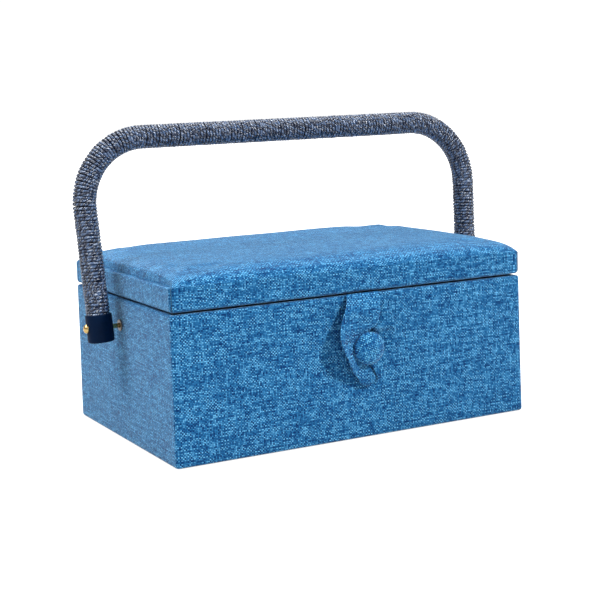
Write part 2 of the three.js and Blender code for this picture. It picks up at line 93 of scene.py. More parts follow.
def place(name, description, default):
    return bpy.props.FloatVectorProperty(
        name=name, description=description, default=default, size=3, subtype="TRANSLATION", unit="LENGTH")


def number(name, description, default):
    return bpy.props.FloatProperty(name=name, description=description, default=default)


class StageSettings(bpy.types.PropertyGroup):
    camera_place: place("Camera place", "Where the camera stands", (-0.5083, -0.9626, 0.2673))
    heading: angle("Heading", "How far the camera looks to the right of straight ahead", 27.82)
    pitch: angle("Pitch", "How far the camera looks down", 8.92)
    roll: angle("Roll", "How far the camera leans", 1.93)
    lens: number("Lens", "Focal length in millimetres", 84.1)
    floor_size: length("Floor size", "Width of the floor", 12.0)
    floor_colour: colour("Floor colour", "Pale studio floor", (0.54, 0.54, 0.54))
    floor_glow: number("Floor glow", "How much the floor is whitened where it is seen directly", 0.8)
    sky: number("Sky", "Strength of the even light all round", 0.42)
    left_key: number("Left light", "Strength of the soft light from the left", 2.35)
    left_spread: angle("Left spread", "How wide the left light is, which softens its shadows", 30)
    right_key: number("Right light", "Strength of the light from the upper right", 2.4)
    right_spread: angle("Right spread", "How wide the right light is", 8)
    top_light: number("Top light", "Strength of the light from above and behind", 1.65)
    top_spread: angle("Top spread", "How wide the top light is", 35)


class ClothSettings(bpy.types.PropertyGroup):
    yarn_pitch: length("Yarn pitch", "Distance from one yarn to the next", 0.0012)
    dark: colour("Dark yarn", "Colour of the darkest yarns", (0.0012, 0.036, 0.15))
    mid: colour("Middle yarn", "Colour of most yarns", (0.02, 0.185, 0.44))
    light: colour("Light yarn", "Colour of the palest yarns", (0.16, 0.55, 0.92))
    slub: number("Slub", "How uneven the yarns are", 2.7)
    speck: number("Speck", "How much the single crossings differ", 0.55)
    check: number("Check", "How much darker the yarns across are than the yarns along", -0.34)
    wall_spread: length("Wall spread", "How much further out each wall stands at the floor", 0.00125)
    corner: length("Corner", "Corner radius of the body", 0.003)
    lid_corner: length("Lid corner", "Corner radius of the lid", 0.004)
    lid_rise: length("Lid rise", "How far the pad swells over the lid's edge", 0.0106)
    lid_edge: length("Lid edge", "Height of the lid's edge above the floor", 0.128)
    groove: length("Groove", "Depth of the crease between the pad and the side bands", 0.004)


class HandleSettings(bpy.types.PropertyGroup):
    splay: angle("Splay", "How far each leg leans outwards", 2.25)
    lean: angle("Lean", "How far the handle leans back", 5.2)
    corner: length("Corner", "Bend radius of the two upper corners", 0.0493)
    wrap_radius: length("Wrap radius", "Radius over the winding", 0.0092)
    turn_pitch: length("Turn pitch", "Distance from one turn of the winding to the next", 0.0024)
    ply_pitch: length("Ply pitch", "Length along the cord of one twist", 0.0058)
    navy: colour("Navy ply", "Colour of the dark strand", (0.006, 0.014, 0.045))
    slate: colour("Slate ply", "Colour of the pale strand", (0.068, 0.12, 0.235))
    # The glint colour is a painted highlight laid on the crests of the cord's plies.
    painted_glint: colour("Glint", "Colour of the brightest fibres", (0.72, 0.79, 0.9))
    cap_colour: colour("Cap colour", "Navy plastic of the end caps", (0.0006, 0.009, 0.034))


class FittingSettings(bpy.types.PropertyGroup):
    brass: colour("Brass", "Colour of the bolts", (0.72, 0.5, 0.2))
    steel: colour("Steel", "Colour of the hinges and screws", (0.62, 0.63, 0.65))
    plated: colour("Plated steel", "Colour of the washers and nuts", (0.2, 0.19, 0.19))


class InsideSettings(bpy.types.PropertyGroup):
    lining_dark: colour("Lining shade", "Darkest yarn of the lining", (0.34, 0.3, 0.24))
    lining_mid: colour("Lining", "Middle yarn of the lining", (0.5, 0.46, 0.39))
    lining_light: colour("Lining light", "Palest yarn of the lining", (0.64, 0.61, 0.55))
    board: colour("Board", "Colour of the fibreboard", (0.42, 0.27, 0.14))
    felt: colour("Felt", "Colour of the pincushion", (0.022, 0.05, 0.12))
    tray: colour("Tray", "Plastic of the trays", (0.5, 0.51, 0.49))
    tray_wall: length("Tray wall", "Thickness of the tray's walls", 0.0016)
    tray_flange: length("Tray flange", "How far the tray's rim reaches past its well, front and back", 0.0072)


SETTINGS = {
    "box_stage": StageSettings,
    "box_cloth": ClothSettings,
    "box_handle": HandleSettings,
    "box_fittings": FittingSettings,
    "box_inside": InsideSettings,
}


# --- shapes --------------------------------------------------------------------------------------


def smooth_step(low, high, value):
    t = np.clip((np.asarray(value, float) - low) / (high - low), 0, 1)
    return t * t * (3 - 2 * t)


def ripple(points, scale, seed=0.0):
    """Slow, repeatable unevenness between about -1 and 1 for each point."""
    flat = np.asarray(points, float).reshape(-1, 3)
    offset = Vector((seed, 2 * seed, -seed))
    values = [noise.noise(Vector(p) / scale + offset) for p in flat]
    return np.array(values).reshape(np.asarray(points).shape[:-1])


def rounded_line(points, radius, steps=5):
    """An open line with its inner corners rounded off."""
    points = [np.array(p, float) for p in points]
    line = [points[0]]
    for before, here, after in zip(points, points[1:], points[2:]):
        back, ahead = before - here, after - here
        reach = min(radius, 0.48 * np.linalg.norm(back), 0.48 * np.linalg.norm(ahead))
        start = here + back / np.linalg.norm(back) * reach
        end = here + ahead / np.linalg.norm(ahead) * reach
        for k in range(steps + 1):
            t = k / steps
            line.append((1 - t) ** 2 * start + 2 * t * (1 - t) * here + t * t * end)
    line.append(points[-1])
    return line


def smooth_through(points, heights):
    """The places at some heights on a soft curve through (height, place) points that go downwards."""
    knots, places = -points[:, 0], points[:, 1]
    slopes = np.gradient(places, knots)
    down = np.clip(-np.asarray(heights), knots[0], knots[-1])
    k = np.clip(np.searchsorted(knots, down, side="right") - 1, 0, len(knots) - 2)
    width = knots[k + 1] - knots[k]
    t = (down - knots[k]) / width
    from_above = (1 + 2 * t) * places[k] + t * width * slopes[k]
    from_below = (3 - 2 * t) * places[k + 1] + (t - 1) * width * slopes[k + 1]
    return (1 - t) ** 2 * from_above + t**2 * from_below


def divided_line(points, longest):
    """The same line with no step longer than longest."""
    line = [points[0]]
    for a, b in zip(points, points[1:]):
        steps = max(1, math.ceil(np.linalg.norm(b - a) / longest))
        line.extend(a + (b - a) * (k + 1) / steps for k in range(steps))
    return line


def along(points):
    """Distance from the first point, for each point of a line."""
    steps = np.linalg.norm(np.diff(points, axis=0), axis=1)
    return np.concatenate([[0], np.cumsum(steps)])


def outline(half_x, half_y, radius, side_steps=(24, 16), corner_steps=6):
    """A closed rounded rectangle that starts and ends in the middle of the back, as (x, y) points."""
    radius = max(radius, 0.0003)
    points = []
    corners = [(1, 1, 90), (1, -1, 0), (-1, -1, -90), (-1, 1, -180)]
    for n, (sx, sy, first) in enumerate(corners):
        centre = np.array([sx * (half_x - radius), sy * (half_y - radius)])
        arc = [math.radians(first - 90 * k / corner_steps) for k in range(corner_steps + 1)]
        arc = [centre + radius * np.array([math.cos(a), math.sin(a)]) for a in arc]
        previous = points[-1] if points else np.array([0.0, half_y])
        steps = side_steps[0] if n % 2 == 0 else side_steps[1]
        steps = steps // 2 if n == 0 else steps
        first_step = 0 if n == 0 else 1
        points.extend(previous + (arc[0] - previous) * k / steps for k in range(first_step, steps))
        points.extend(arc)
    steps = side_steps[0] // 2
    last, home = points[-1], np.array([0.0, half_y])
    points.extend(last + (home - last) * (k + 1) / steps for k in range(steps))
    return np.array(points)


def build(name, patches, weld=2e-6, sharp=None, fill_holes=False):
    """One mesh piece from grids of points with cloth coordinates in metres, joined along their edges."""
    vertices, faces, coordinates = [], [], []
    for points, uv in patches:
        points = np.asarray(points, float)
        rows, columns = points.shape[:2]
        start = len(vertices)
        vertices.extend(points.reshape(-1, 3).tolist())
        flat = np.zeros((rows * columns, 2)) if uv is None else np.asarray(uv, float).reshape(-1, 2)
        coordinates.extend(flat.tolist())
        for r in range(rows - 1):
            a = start + r * columns
            faces.extend((a + c, a + c + 1, a + columns + c + 1, a + columns + c) for c in range(columns - 1))
    mesh = bpy.data.meshes.new(name)
    mesh.from_pydata(vertices, [], faces)
    layer = mesh.uv_layers.new(name="cloth")
    corner_of = np.empty(len(mesh.loops), np.int32)
    mesh.loops.foreach_get("vertex_index", corner_of)
    layer.data.foreach_set("uv", np.array(coordinates, np.float32)[corner_of].ravel())
    work = bmesh.new()
    work.from_mesh(mesh)
    bmesh.ops.remove_doubles(work, verts=work.verts, dist=weld)
    bmesh.ops.dissolve_degenerate(work, edges=work.edges, dist=1e-7)
    if fill_holes:
        edges = [e for e in work.edges if e.is_boundary]
        bmesh.ops.triangle_fill(work, edges=edges, use_beauty=True)
    bmesh.ops.recalc_face_normals(work, faces=work.faces)
    work.to_mesh(mesh)
    work.free()
    mesh.shade_smooth()
    if sharp:
        mesh.set_sharp_from_angle(angle=math.radians(sharp))
    piece = bpy.data.objects.new(name, mesh)
    bpy.context.scene.collection.objects.link(piece)
    return piece


def turned(profile, axis, centre, segments=48, flip=1):
    """A grid turned about an axis through centre, from (radius, distance along the axis) pairs."""
    profile = np.array(profile, float)
    turn = np.linspace(0, 2 * math.pi, segments + 1)
    radius, reach = profile[:, :1], profile[:, 1:] * flip
    first, second = radius * np.cos(turn), radius * np.sin(turn)
    level = reach + 0 * turn
    order = {"X": (level, first, second), "Y": (first, level, second), "Z": (first, second, level)}[axis]
    points = np.stack(order, axis=-1) + np.array(centre)
    run = along(profile)[:, None] + 0 * turn
    return points, np.stack([turn * profile[:, 0].max() + 0 * radius, run], axis=-1)


def finish_piece(piece, body, material, replaced=()):
    """Gives a piece its material and slot, sets it on its body, and hides the nodes that it stands for."""
    if body:
        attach(piece, body)
    if replaced:
        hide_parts(*replaced)
    piece.data.materials.clear()
    piece.data.materials.append(material)
    return piece


def paint_node(name, material, bevel=0.0):
    """Gives a node that stays as it is its material and softened edges."""
    piece = frame["nodes"][name]
    piece.data.materials.clear()
    piece.data.materials.append(material)
    if bevel:
        edges = piece.modifiers.new("soft_edges", "BEVEL")
        edges.width = bevel
        edges.segments = 3
        edges.limit_method = "ANGLE"
    return piece


def inflate(piece, held, pressure, most, frames=20):
    """Swells a pad with a cloth simulation, holding some points still and capping how far the others move."""
    trial = piece.copy()
    trial.data = piece.data.copy()
    bpy.context.scene.collection.objects.link(trial)
    pins = trial.vertex_groups.new(name="held")
    pins.add([int(i) for i in np.flatnonzero(held)], 1.0, "REPLACE")
    cloth = trial.modifiers.new("swell", "CLOTH")
    rules = cloth.settings
    rules.quality = 6
    rules.mass = 0.2
    rules.vertex_group_mass = "held"
    rules.use_pressure = True
    rules.uniform_pressure_force = pressure
    rules.effector_weights.gravity = 0
    rules.tension_stiffness = rules.compression_stiffness = 25
    rules.shear_stiffness = 15
    rules.bending_stiffness = 4
    cloth.point_cache.frame_start = 1
    cloth.point_cache.frame_end = frames
    for number_of_frame in range(1, frames + 1):
        bpy.context.scene.frame_set(number_of_frame)
    seen = trial.evaluated_get(bpy.context.evaluated_depsgraph_get())
    count = len(piece.data.vertices)
    before, after = np.empty(count * 3, np.float32), np.empty(count * 3, np.float32)
    piece.data.vertices.foreach_get("co", before)
    seen.data.vertices.foreach_get("co", after)
    move = (after - before).reshape(-1, 3).astype(float)
    size = np.linalg.norm(move, axis=1, keepdims=True)
    move *= np.minimum(1, most / np.maximum(size, 1e-9))
    piece.data.vertices.foreach_set("co", (before.reshape(-1, 3) + move).astype(np.float32).ravel())
    piece.data.update()
    bpy.data.objects.remove(trial)
    bpy.context.scene.frame_set(1)


def subdivide(piece, levels=1):
    """Adds a smooth subdivision that stays as a modifier."""
    smooth = piece.modifiers.new("smooth", "SUBSURF")
    smooth.levels = smooth.render_levels = levels
    smooth.uv_smooth = "PRESERVE_BOUNDARIES"
    return piece


def settle(piece):
    """Turns the piece's modifiers into plain mesh."""
    seen = piece.evaluated_get(bpy.context.evaluated_depsgraph_get())
    mesh = bpy.data.meshes.new_from_object(seen)
    piece.modifiers.clear()
    piece.data = mesh
    return piece


# --- finishes ------------------------------------------------------------------------------------

FINISHES = {}


def kept(name, make):
    """The finish of that name, made the first time it is asked for."""
    if name not in FINISHES:
        FINISHES[name] = make()
    return FINISHES[name]


class Graph:
    """Short calls for building a shader node tree."""

    def __init__(self, tree):
        self.tree = tree

    def node(self, kind, inputs=None, **settings):
        made = self.tree.nodes.new("ShaderNode" + kind)
        for key, value in settings.items():
            setattr(made, key, value)
        for key, value in (inputs or {}).items():
            self.feed(made.inputs[key], value)
        return made

    def feed(self, socket, value):
        if isinstance(value, bpy.types.NodeSocket):
            self.tree.links.new(value, socket)
        else:
            socket.default_value = value

    def math(self, operation, *values, clamp=False):
        return self.node("Math", dict(enumerate(values)), operation=operation, use_clamp=clamp).outputs[0]

    def blend(self, factor, a, b, kind="MIX"):
        return self.node("Mix", {0: factor, 6: a, 7: b}, data_type="RGBA", blend_type=kind).outputs[2]

    def noise(self, vector, scale, detail=2.0, roughness=0.5):
        inputs = {"Vector": vector, "Scale": scale, "Detail": detail, "Roughness": roughness}
        return self.node("TexNoise", inputs).outputs[0]

    def split(self, vector):
        return self.node("SeparateXYZ", {0: vector}).outputs

    def join(self, x, y, z=0.0):
        return self.node("CombineXYZ", {0: x, 1: y, 2: z}).outputs[0]

    def vector(self, operation, a, b):
        return self.node("VectorMath", {0: a, 1: b}, operation=operation).outputs[0]


def rgba(values):
    return (*values, 1.0)


def effect(name, inputs, outputs):
    """An empty shader node group with named inputs and outputs."""
    tree = bpy.data.node_groups.new(name, "ShaderNodeTree")
    for label, kind, default in inputs:
        socket = tree.interface.new_socket(name=label, in_out="INPUT", socket_type="NodeSocket" + kind)
        if default is not None:
            socket.default_value = default
    for label, kind in outputs:
        tree.interface.new_socket(name=label, in_out="OUTPUT", socket_type="NodeSocket" + kind)
    graph = Graph(tree)
    entry = tree.nodes.new("NodeGroupInput").outputs
    leave = tree.nodes.new("NodeGroupOutput").inputs
    return graph, entry, leave


def weave_effect():
    """Plain weave: yarns that pass over and under, each with its own tone, slubs and fuzz, with painted shade
    in the gaps between them.
    """
    if "plain_weave" in bpy.data.node_groups:
        return bpy.data.node_groups["plain_weave"]
    inputs = [
        ("Vector", "Vector", None), ("Yarns", "Float", 1180.0), ("Slub", "Float", 1.0),
        ("Speck", "Float", 0.5), ("Check", "Float", 0.1), ("Dark", "Color", (0, 0, 0, 1)),
        ("Mid", "Color", (0.5, 0.5, 0.5, 1)), ("Light", "Color", (1, 1, 1, 1)),
    ]
    g, entry, leave = effect("plain_weave", inputs, [("Color", "Color"), ("Height", "Float")])
    drift = 0.0012  # how far the yarns wander from straight, in metres
    sway = g.node("TexNoise", {"Vector": entry["Vector"], "Scale": 45.0, "Detail": 1.0}).outputs[1]
    sway = g.vector("MULTIPLY", g.vector("SUBTRACT", sway, (0.5, 0.5, 0.5)), (drift, drift, 0.0))
    count = g.join(entry["Yarns"], entry["Yarns"], 0.0)
    u, v, _ = g.split(g.vector("MULTIPLY", g.vector("ADD", entry["Vector"], sway), count))
    wave_u = g.math("SINE", g.math("MULTIPLY", u, math.pi))
    wave_v = g.math("SINE", g.math("MULTIPLY", v, math.pi))
    cross = g.math("MULTIPLY", wave_u, wave_v)
    warp = g.math("ADD", g.math("ABSOLUTE", wave_u), cross)
    weft = g.math("SUBTRACT", g.math("ABSOLUTE", wave_v), cross)
    on_top = g.math("GREATER_THAN", warp, weft)
    height = g.math("MULTIPLY", g.math("MAXIMUM", warp, weft), 0.5)
    column, row = g.math("FLOOR", u), g.math("FLOOR", v)
    apart, stretch = 3.17, 0.11  # yarns differ from their neighbours and change slowly along their length
    along_warp = g.join(g.math("MULTIPLY", column, apart), g.math("MULTIPLY", v, stretch), 0.0)
    along_weft = g.join(g.math("MULTIPLY", u, stretch), g.math("MULTIPLY", row, apart), 7.7)
    warp_tone = g.noise(along_warp, 1.0, 3.0, 0.65)
    weft_tone = g.noise(along_weft, 1.0, 3.0, 0.65)
    tone = g.node("Mix", {0: on_top, 2: weft_tone, 3: warp_tone}, data_type="FLOAT").outputs[0]
    speck = g.node("TexWhiteNoise", {"Vector": g.join(column, row)}, noise_dimensions="2D").outputs[0]
    fuzz = g.noise(entry["Vector"], 2600.0, 2.0)
    level = 0.46  # 0 is the dark yarn, a half the middle one, 1 the light one
    shares = [(tone, entry["Slub"]), (speck, entry["Speck"]), (on_top, entry["Check"]), (fuzz, 0.6)]
    for cause, share in shares:
        level = g.math("MULTIPLY_ADD", g.math("SUBTRACT", cause, 0.5), share, level)
    low = g.math("MULTIPLY", level, 2.0, clamp=True)
    high = g.math("MULTIPLY_ADD", level, 2.0, -1.0, clamp=True)
    tint = g.blend(high, g.blend(low, entry["Dark"], entry["Mid"]), entry["Light"])
    # Painted shade: where the yarns dip into the gaps between crossings, the colour is pulled towards the
    # dark yarn.
    gap = g.math("MULTIPLY_ADD", height, -2.6, 1.35, clamp=True)
    tint = g.blend(gap, tint, entry["Dark"])
    g.feed(leave["Color"], tint)
    g.feed(leave["Height"], g.math("MULTIPLY_ADD", fuzz, 0.35, height))
    return g.tree


def board_coordinates(g):
    """Cloth coordinates for boards and boxes: each face is measured along its own two sides."""
    x, y, z = g.split(g.node("TexCoord").outputs["Object"])
    nx, _, nz = g.split(g.node("TexCoord").outputs["Normal"])
    side = g.math("GREATER_THAN", g.math("ABSOLUTE", nx), 0.7)
    level = g.math("GREATER_THAN", g.math("ABSOLUTE", nz), 0.7)
    across = g.node("Mix", {0: side, 2: x, 3: y}, data_type="FLOAT").outputs[0]
    up = g.node("Mix", {0: level, 2: z, 3: y}, data_type="FLOAT").outputs[0]
    return g.join(across, up)


def patina_effect():
    """Slow changes of tone and gloss over a hard surface, with fine scratches."""
    if "patina" in bpy.data.node_groups:
        return bpy.data.node_groups["patina"]
    inputs = [
        ("Color", "Color", (0.5, 0.5, 0.5, 1)), ("Shade", "Color", (0.2, 0.2, 0.2, 1)),
        ("Scale", "Float", 60.0), ("Amount", "Float", 0.2), ("Gloss", "Float", 0.3),
        ("Stretch", "Float", 1.0),
    ]
    outputs = [("Color", "Color"), ("Roughness", "Float"), ("Height", "Float")]
    g, entry, leave = effect("patina", inputs, outputs)
    here = g.node("TexCoord").outputs["Object"]
    cloud = g.noise(here, entry["Scale"], 4.0, 0.6)
    grain = g.noise(g.vector("MULTIPLY", here, g.join(1.0, entry["Stretch"], 1.0)), 1400.0, 3.0)
    fade = g.math("MULTIPLY", g.math("SUBTRACT", cloud, 0.35, clamp=True), 2.2)
    worn = g.math("MULTIPLY", fade, entry["Amount"])
    g.feed(leave["Color"], g.blend(worn, entry["Color"], entry["Shade"]))
    shine = g.math("MULTIPLY_ADD", g.math("SUBTRACT", cloud, 0.5), 0.22, entry["Gloss"])
    rough = g.math("MULTIPLY_ADD", g.math("SUBTRACT", grain, 0.5), 0.12, shine, clamp=True)
    g.feed(leave["Roughness"], rough)
    g.feed(leave["Height"], grain)
    return g.tree


def finish(name, **constants):
    """A new material and its shader, with the shader's constant values set on its own sockets."""
    material = bpy.data.materials.new(name)
    material.use_nodes = True
    tree = material.node_tree
    shader = next(n for n in tree.nodes if n.type == "BSDF_PRINCIPLED")
    for label, value in constants.items():
        shader.inputs[label.replace("_", " ")].default_value = value
    return material, Graph(tree), shader


def bump(g, shader, height, distance, strength=1.0):
    made = g.node("Bump", {"Height": height, "Distance": distance, "Strength": strength})
    g.feed(shader.inputs["Normal"], made.outputs[0])


def cloth_material(name, colours, yarn_pitch, uneven, on_boards=False, **constants):
    """Woven cloth in three yarn tones; uneven is how much its slubs, specks and two yarn sets differ."""
    material, g, shader = finish(name, **constants)
    vector = board_coordinates(g) if on_boards else g.node("UVMap", uv_map="cloth").outputs[0]
    dark, mid, light = [rgba(c) for c in colours]
    slub, speck, check = uneven
    inputs = {
        "Vector": vector, "Yarns": 1 / yarn_pitch, "Slub": slub, "Speck": speck, "Check": check,
        "Dark": dark, "Mid": mid, "Light": light,
    }
    weave = g.node("Group", node_tree=weave_effect())
    for label, value in inputs.items():
        g.feed(weave.inputs[label], value)
    g.feed(shader.inputs["Base Color"], weave.outputs["Color"])
    roughness = g.math("MULTIPLY_ADD", weave.outputs["Height"], -0.12, 0.95)
    g.feed(shader.inputs["Roughness"], roughness)
    bump(g, shader, weave.outputs["Height"], yarn_pitch * 0.3)
    return material


def linen(painted_light_factor=1.0):
    """The covering cloth, in the box's three blues, or a lighter copy of it whose extra brightness is painted
    light.
    """
    s = bpy.context.scene.box_cloth
    tones = [[min(1.0, c * painted_light_factor) for c in tone] for tone in (s.dark, s.mid, s.light)]
    return kept(f"linen_{painted_light_factor}", lambda: cloth_material(
        "blue_linen", tones, s.yarn_pitch, (s.slub, s.speck, s.check),
        Sheen_Weight=0.65, Sheen_Roughness=0.3, Sheen_Tint=(0.6, 0.82, 1.0, 1.0), Specular_IOR_Level=0.1))


def hard_material(name, colour_value, shade, scale, amount, gloss, bump_height, stretch=1.0, **constants):
    """Metal, plastic or board with patina."""
    material, g, shader = finish(name, **constants)
    inputs = {
        "Color": rgba(colour_value), "Shade": rgba(shade), "Scale": scale, "Amount": amount, "Gloss": gloss,
        "Stretch": stretch,
    }
    patina = g.node("Group", node_tree=patina_effect())
    for label, value in inputs.items():
        g.feed(patina.inputs[label], value)
    g.feed(shader.inputs["Base Color"], patina.outputs["Color"])
    g.feed(shader.inputs["Roughness"], patina.outputs["Roughness"])
    bump(g, shader, patina.outputs["Height"], bump_height)
    return material


def fitting_finish(name):
    """The steel, plated or brass finish, or that of the boards."""
    fittings, inside = bpy.context.scene.box_fittings, bpy.context.scene.box_inside
    base, shade, scale, amount, gloss, grain, stretch, metal = {
        "steel": (fittings.steel, (0.35, 0.34, 0.33), 90.0, 0.35, 0.28, 4e-6, 0.08, 1.0),
        "plated": (fittings.plated, (0.16, 0.15, 0.15), 260.0, 0.6, 0.34, 3e-6, 1.0, 1.0),
        "polished_brass": (fittings.brass, (0.4, 0.25, 0.09), 160.0, 0.35, 0.25, 3e-6, 1.0, 1.0),
        "board": (inside.board, (0.25, 0.15, 0.07), 220.0, 0.7, 0.85, 6e-5, 1.0, 0.0),
    }[name]
    return kept(name, lambda: hard_material(
        name, base, shade, scale, amount, gloss, grain, stretch, Metallic=metal))


def lining(name="lining", on_boards=True):
    """Fine unbleached cotton."""
    s = bpy.context.scene.box_inside
    tones, yarn_pitch, uneven = (s.lining_dark, s.lining_mid, s.lining_light), 0.0006, (0.9, 0.4, 0.1)
    return kept(name, lambda: cloth_material(name, tones, yarn_pitch, uneven, on_boards, Sheen_Weight=0.15))


# --- stage ---------------------------------------------------------------------------------------


class StageOperator(bpy.types.Operator):
    """Sets the camera, the soft light and the pale floor"""

    bl_idname = "sewing_box.stage"
    bl_label = "Stage"

    BACKDROP = 1.05  # brightness of the white background where it is seen directly
    FLOOR_GAP = 0.0003  # how far the floor lies under the box

    def execute(self, context):
        s = context.scene.box_stage
        camera = bpy.data.cameras.new("camera")
        camera.lens = s.lens
        camera.sensor_width = 36  # millimetres
        camera.clip_end = 100
        eye = bpy.data.objects.new("camera", camera)
        turn = Matrix.Rotation(-s.heading, 4, "Z") @ Matrix.Rotation(math.pi / 2 - s.pitch, 4, "X")
        eye.matrix_world = Matrix.Translation(s.camera_place) @ turn @ Matrix.Rotation(-s.roll, 4, "Z")
        context.scene.collection.objects.link(eye)
        context.scene.camera = eye
        context.scene.view_settings.view_transform = "Standard"
        self.light_the_room(s)
        self.lay_the_floor(s)
        return {"FINISHED"}

    def light_the_room(self, s):
        world = bpy.data.worlds.new("room")
        bpy.context.scene.world = world
        world.use_nodes = True
        g = Graph(world.node_tree)
        background = next(n for n in world.node_tree.nodes if n.type == "BACKGROUND")
        seen = g.node("LightPath").outputs["Is Camera Ray"]
        strength = g.math("MULTIPLY_ADD", seen, self.BACKDROP - s.sky, s.sky)
        g.feed(background.inputs["Color"], (1, 1, 1, 1))
        g.feed(background.inputs["Strength"], strength)
        for name, spot, power, spread in [
            ("left_key", (-0.62, 0.08, 1.15), s.left_key, s.left_spread),
            ("right_key", (0.6, -0.8, 1.05), s.right_key, s.right_spread),
            ("top_light", (0.15, 0.75, 1.0), s.top_light, s.top_spread),
        ]:
            lamp = bpy.data.lights.new(name, "SUN")
            lamp.energy = power
            lamp.angle = spread
            self.aim(name, lamp, spot)

    def aim(self, name, lamp, spot):
        holder = bpy.data.objects.new(name, lamp)
        holder.location = spot
        holder.rotation_mode = "QUATERNION"
        target = Vector((0, 0, 0.1))
        holder.rotation_quaternion = (target - Vector(spot)).to_track_quat("-Z", "Y")
        bpy.context.scene.collection.objects.link(holder)

    def lay_the_floor(self, s):
        half = s.floor_size / 2
        grid = np.array([[[x, y, -self.FLOOR_GAP] for x in (-half, half)] for y in (-half, half)])
        floor = build("floor", [(grid, None)])
        material, g, shader = finish("floor", Roughness=0.75, Emission_Color=(1, 1, 1, 1))
        here = g.node("TexCoord").outputs["Object"]
        shade = g.math("MULTIPLY_ADD", g.noise(here, 3.0, 2.0), 0.02, 0.98)
        g.feed(shader.inputs["Base Color"], g.blend(shade, (0.5, 0.5, 0.5, 1), rgba(s.floor_colour)))
        seen = g.node("LightPath").outputs["Is Camera Ray"]
        g.feed(shader.inputs["Emission Strength"], g.math("MULTIPLY", seen, s.floor_glow))
        floor.data.materials.append(material)


# --- body cloth ----------------------------------------------------------------------------------


class BodyClothOperator(bpy.types.Operator):
    """Wraps the cloth round the four walls, turned in at the rim and under the floor"""

    bl_idname = "sewing_box.body_cloth"
    bl_label = "Body cloth"

    LAP_STEP = 0.0007  # how far the lapped end stands out over the start
    RIM_ROUND = 0.0024
    UNDER_TURN = 0.013  # width of the turn-in under the floor
    STEPS = (60, 40)  # points along the length and the depth of the box

    def execute(self, context):
        s = context.scene.box_cloth
        low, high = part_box("body_cover")
        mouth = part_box("body_lining")[1].x
        turn_in = high.x - s.wall_spread - mouth + 0.0007
        profile = [
            (turn_in, high.z - 0.0018), (turn_in, high.z), (0, high.z), (0, low.z), (self.UNDER_TURN, low.z),
        ]
        profile = divided_line(rounded_line(profile, self.RIM_ROUND), 0.005)
        run = along(profile)
        around = along(outline(high.x, high.y, s.corner, self.STEPS))
        grid, sheet = [], []
        for (inset, z), down in zip(profile, run):
            spread = s.wall_spread * min(1.0, z / high.z)
            half_x, half_y = high.x - spread - inset, high.y - spread - inset
            ring = outline(half_x, half_y, s.corner - inset, self.STEPS)
            grid.append(np.column_stack([ring, np.full(len(ring), z)]))
            sheet.append(np.column_stack([around, np.full(len(ring), down)]))
        grid, sheet = np.array(grid), np.array(sheet)
        self.settle_on_walls(grid, high)
        piece = build("body_cloth", [(grid, sheet)])
        finish_piece(piece, "root", linen(), ["body_cover"])
        return {"FINISHED"}

    def settle_on_walls(self, grid, high):
        """Lets the cloth lie a little unevenly, and lays its end over its start in the middle of the back."""
        corner = np.abs(grid[..., 0]) / high.x > np.abs(grid[..., 1]) / high.y
        outward = np.where(corner[..., None], [1.0, 0, 0] * np.sign(grid), [0, 1.0, 0] * np.sign(grid))
        wall = smooth_step(0.004, 0.02, grid[..., 2]) * smooth_step(0.1085, 0.1, grid[..., 2])
        grid += outward * (ripple(grid, 0.045) * 0.00022 * wall)[..., None]
        half_way = np.arange(grid.shape[1]) > grid.shape[1] / 2
        lap = half_way * smooth_step(-0.0045, -0.003, grid[..., 0]) * (grid[..., 1] > 0)
        grid[..., 1] += lap * self.LAP_STEP * smooth_step(0.001, 0.004, grid[..., 2])


# --- lid -----------------------------------------------------------------------------------------


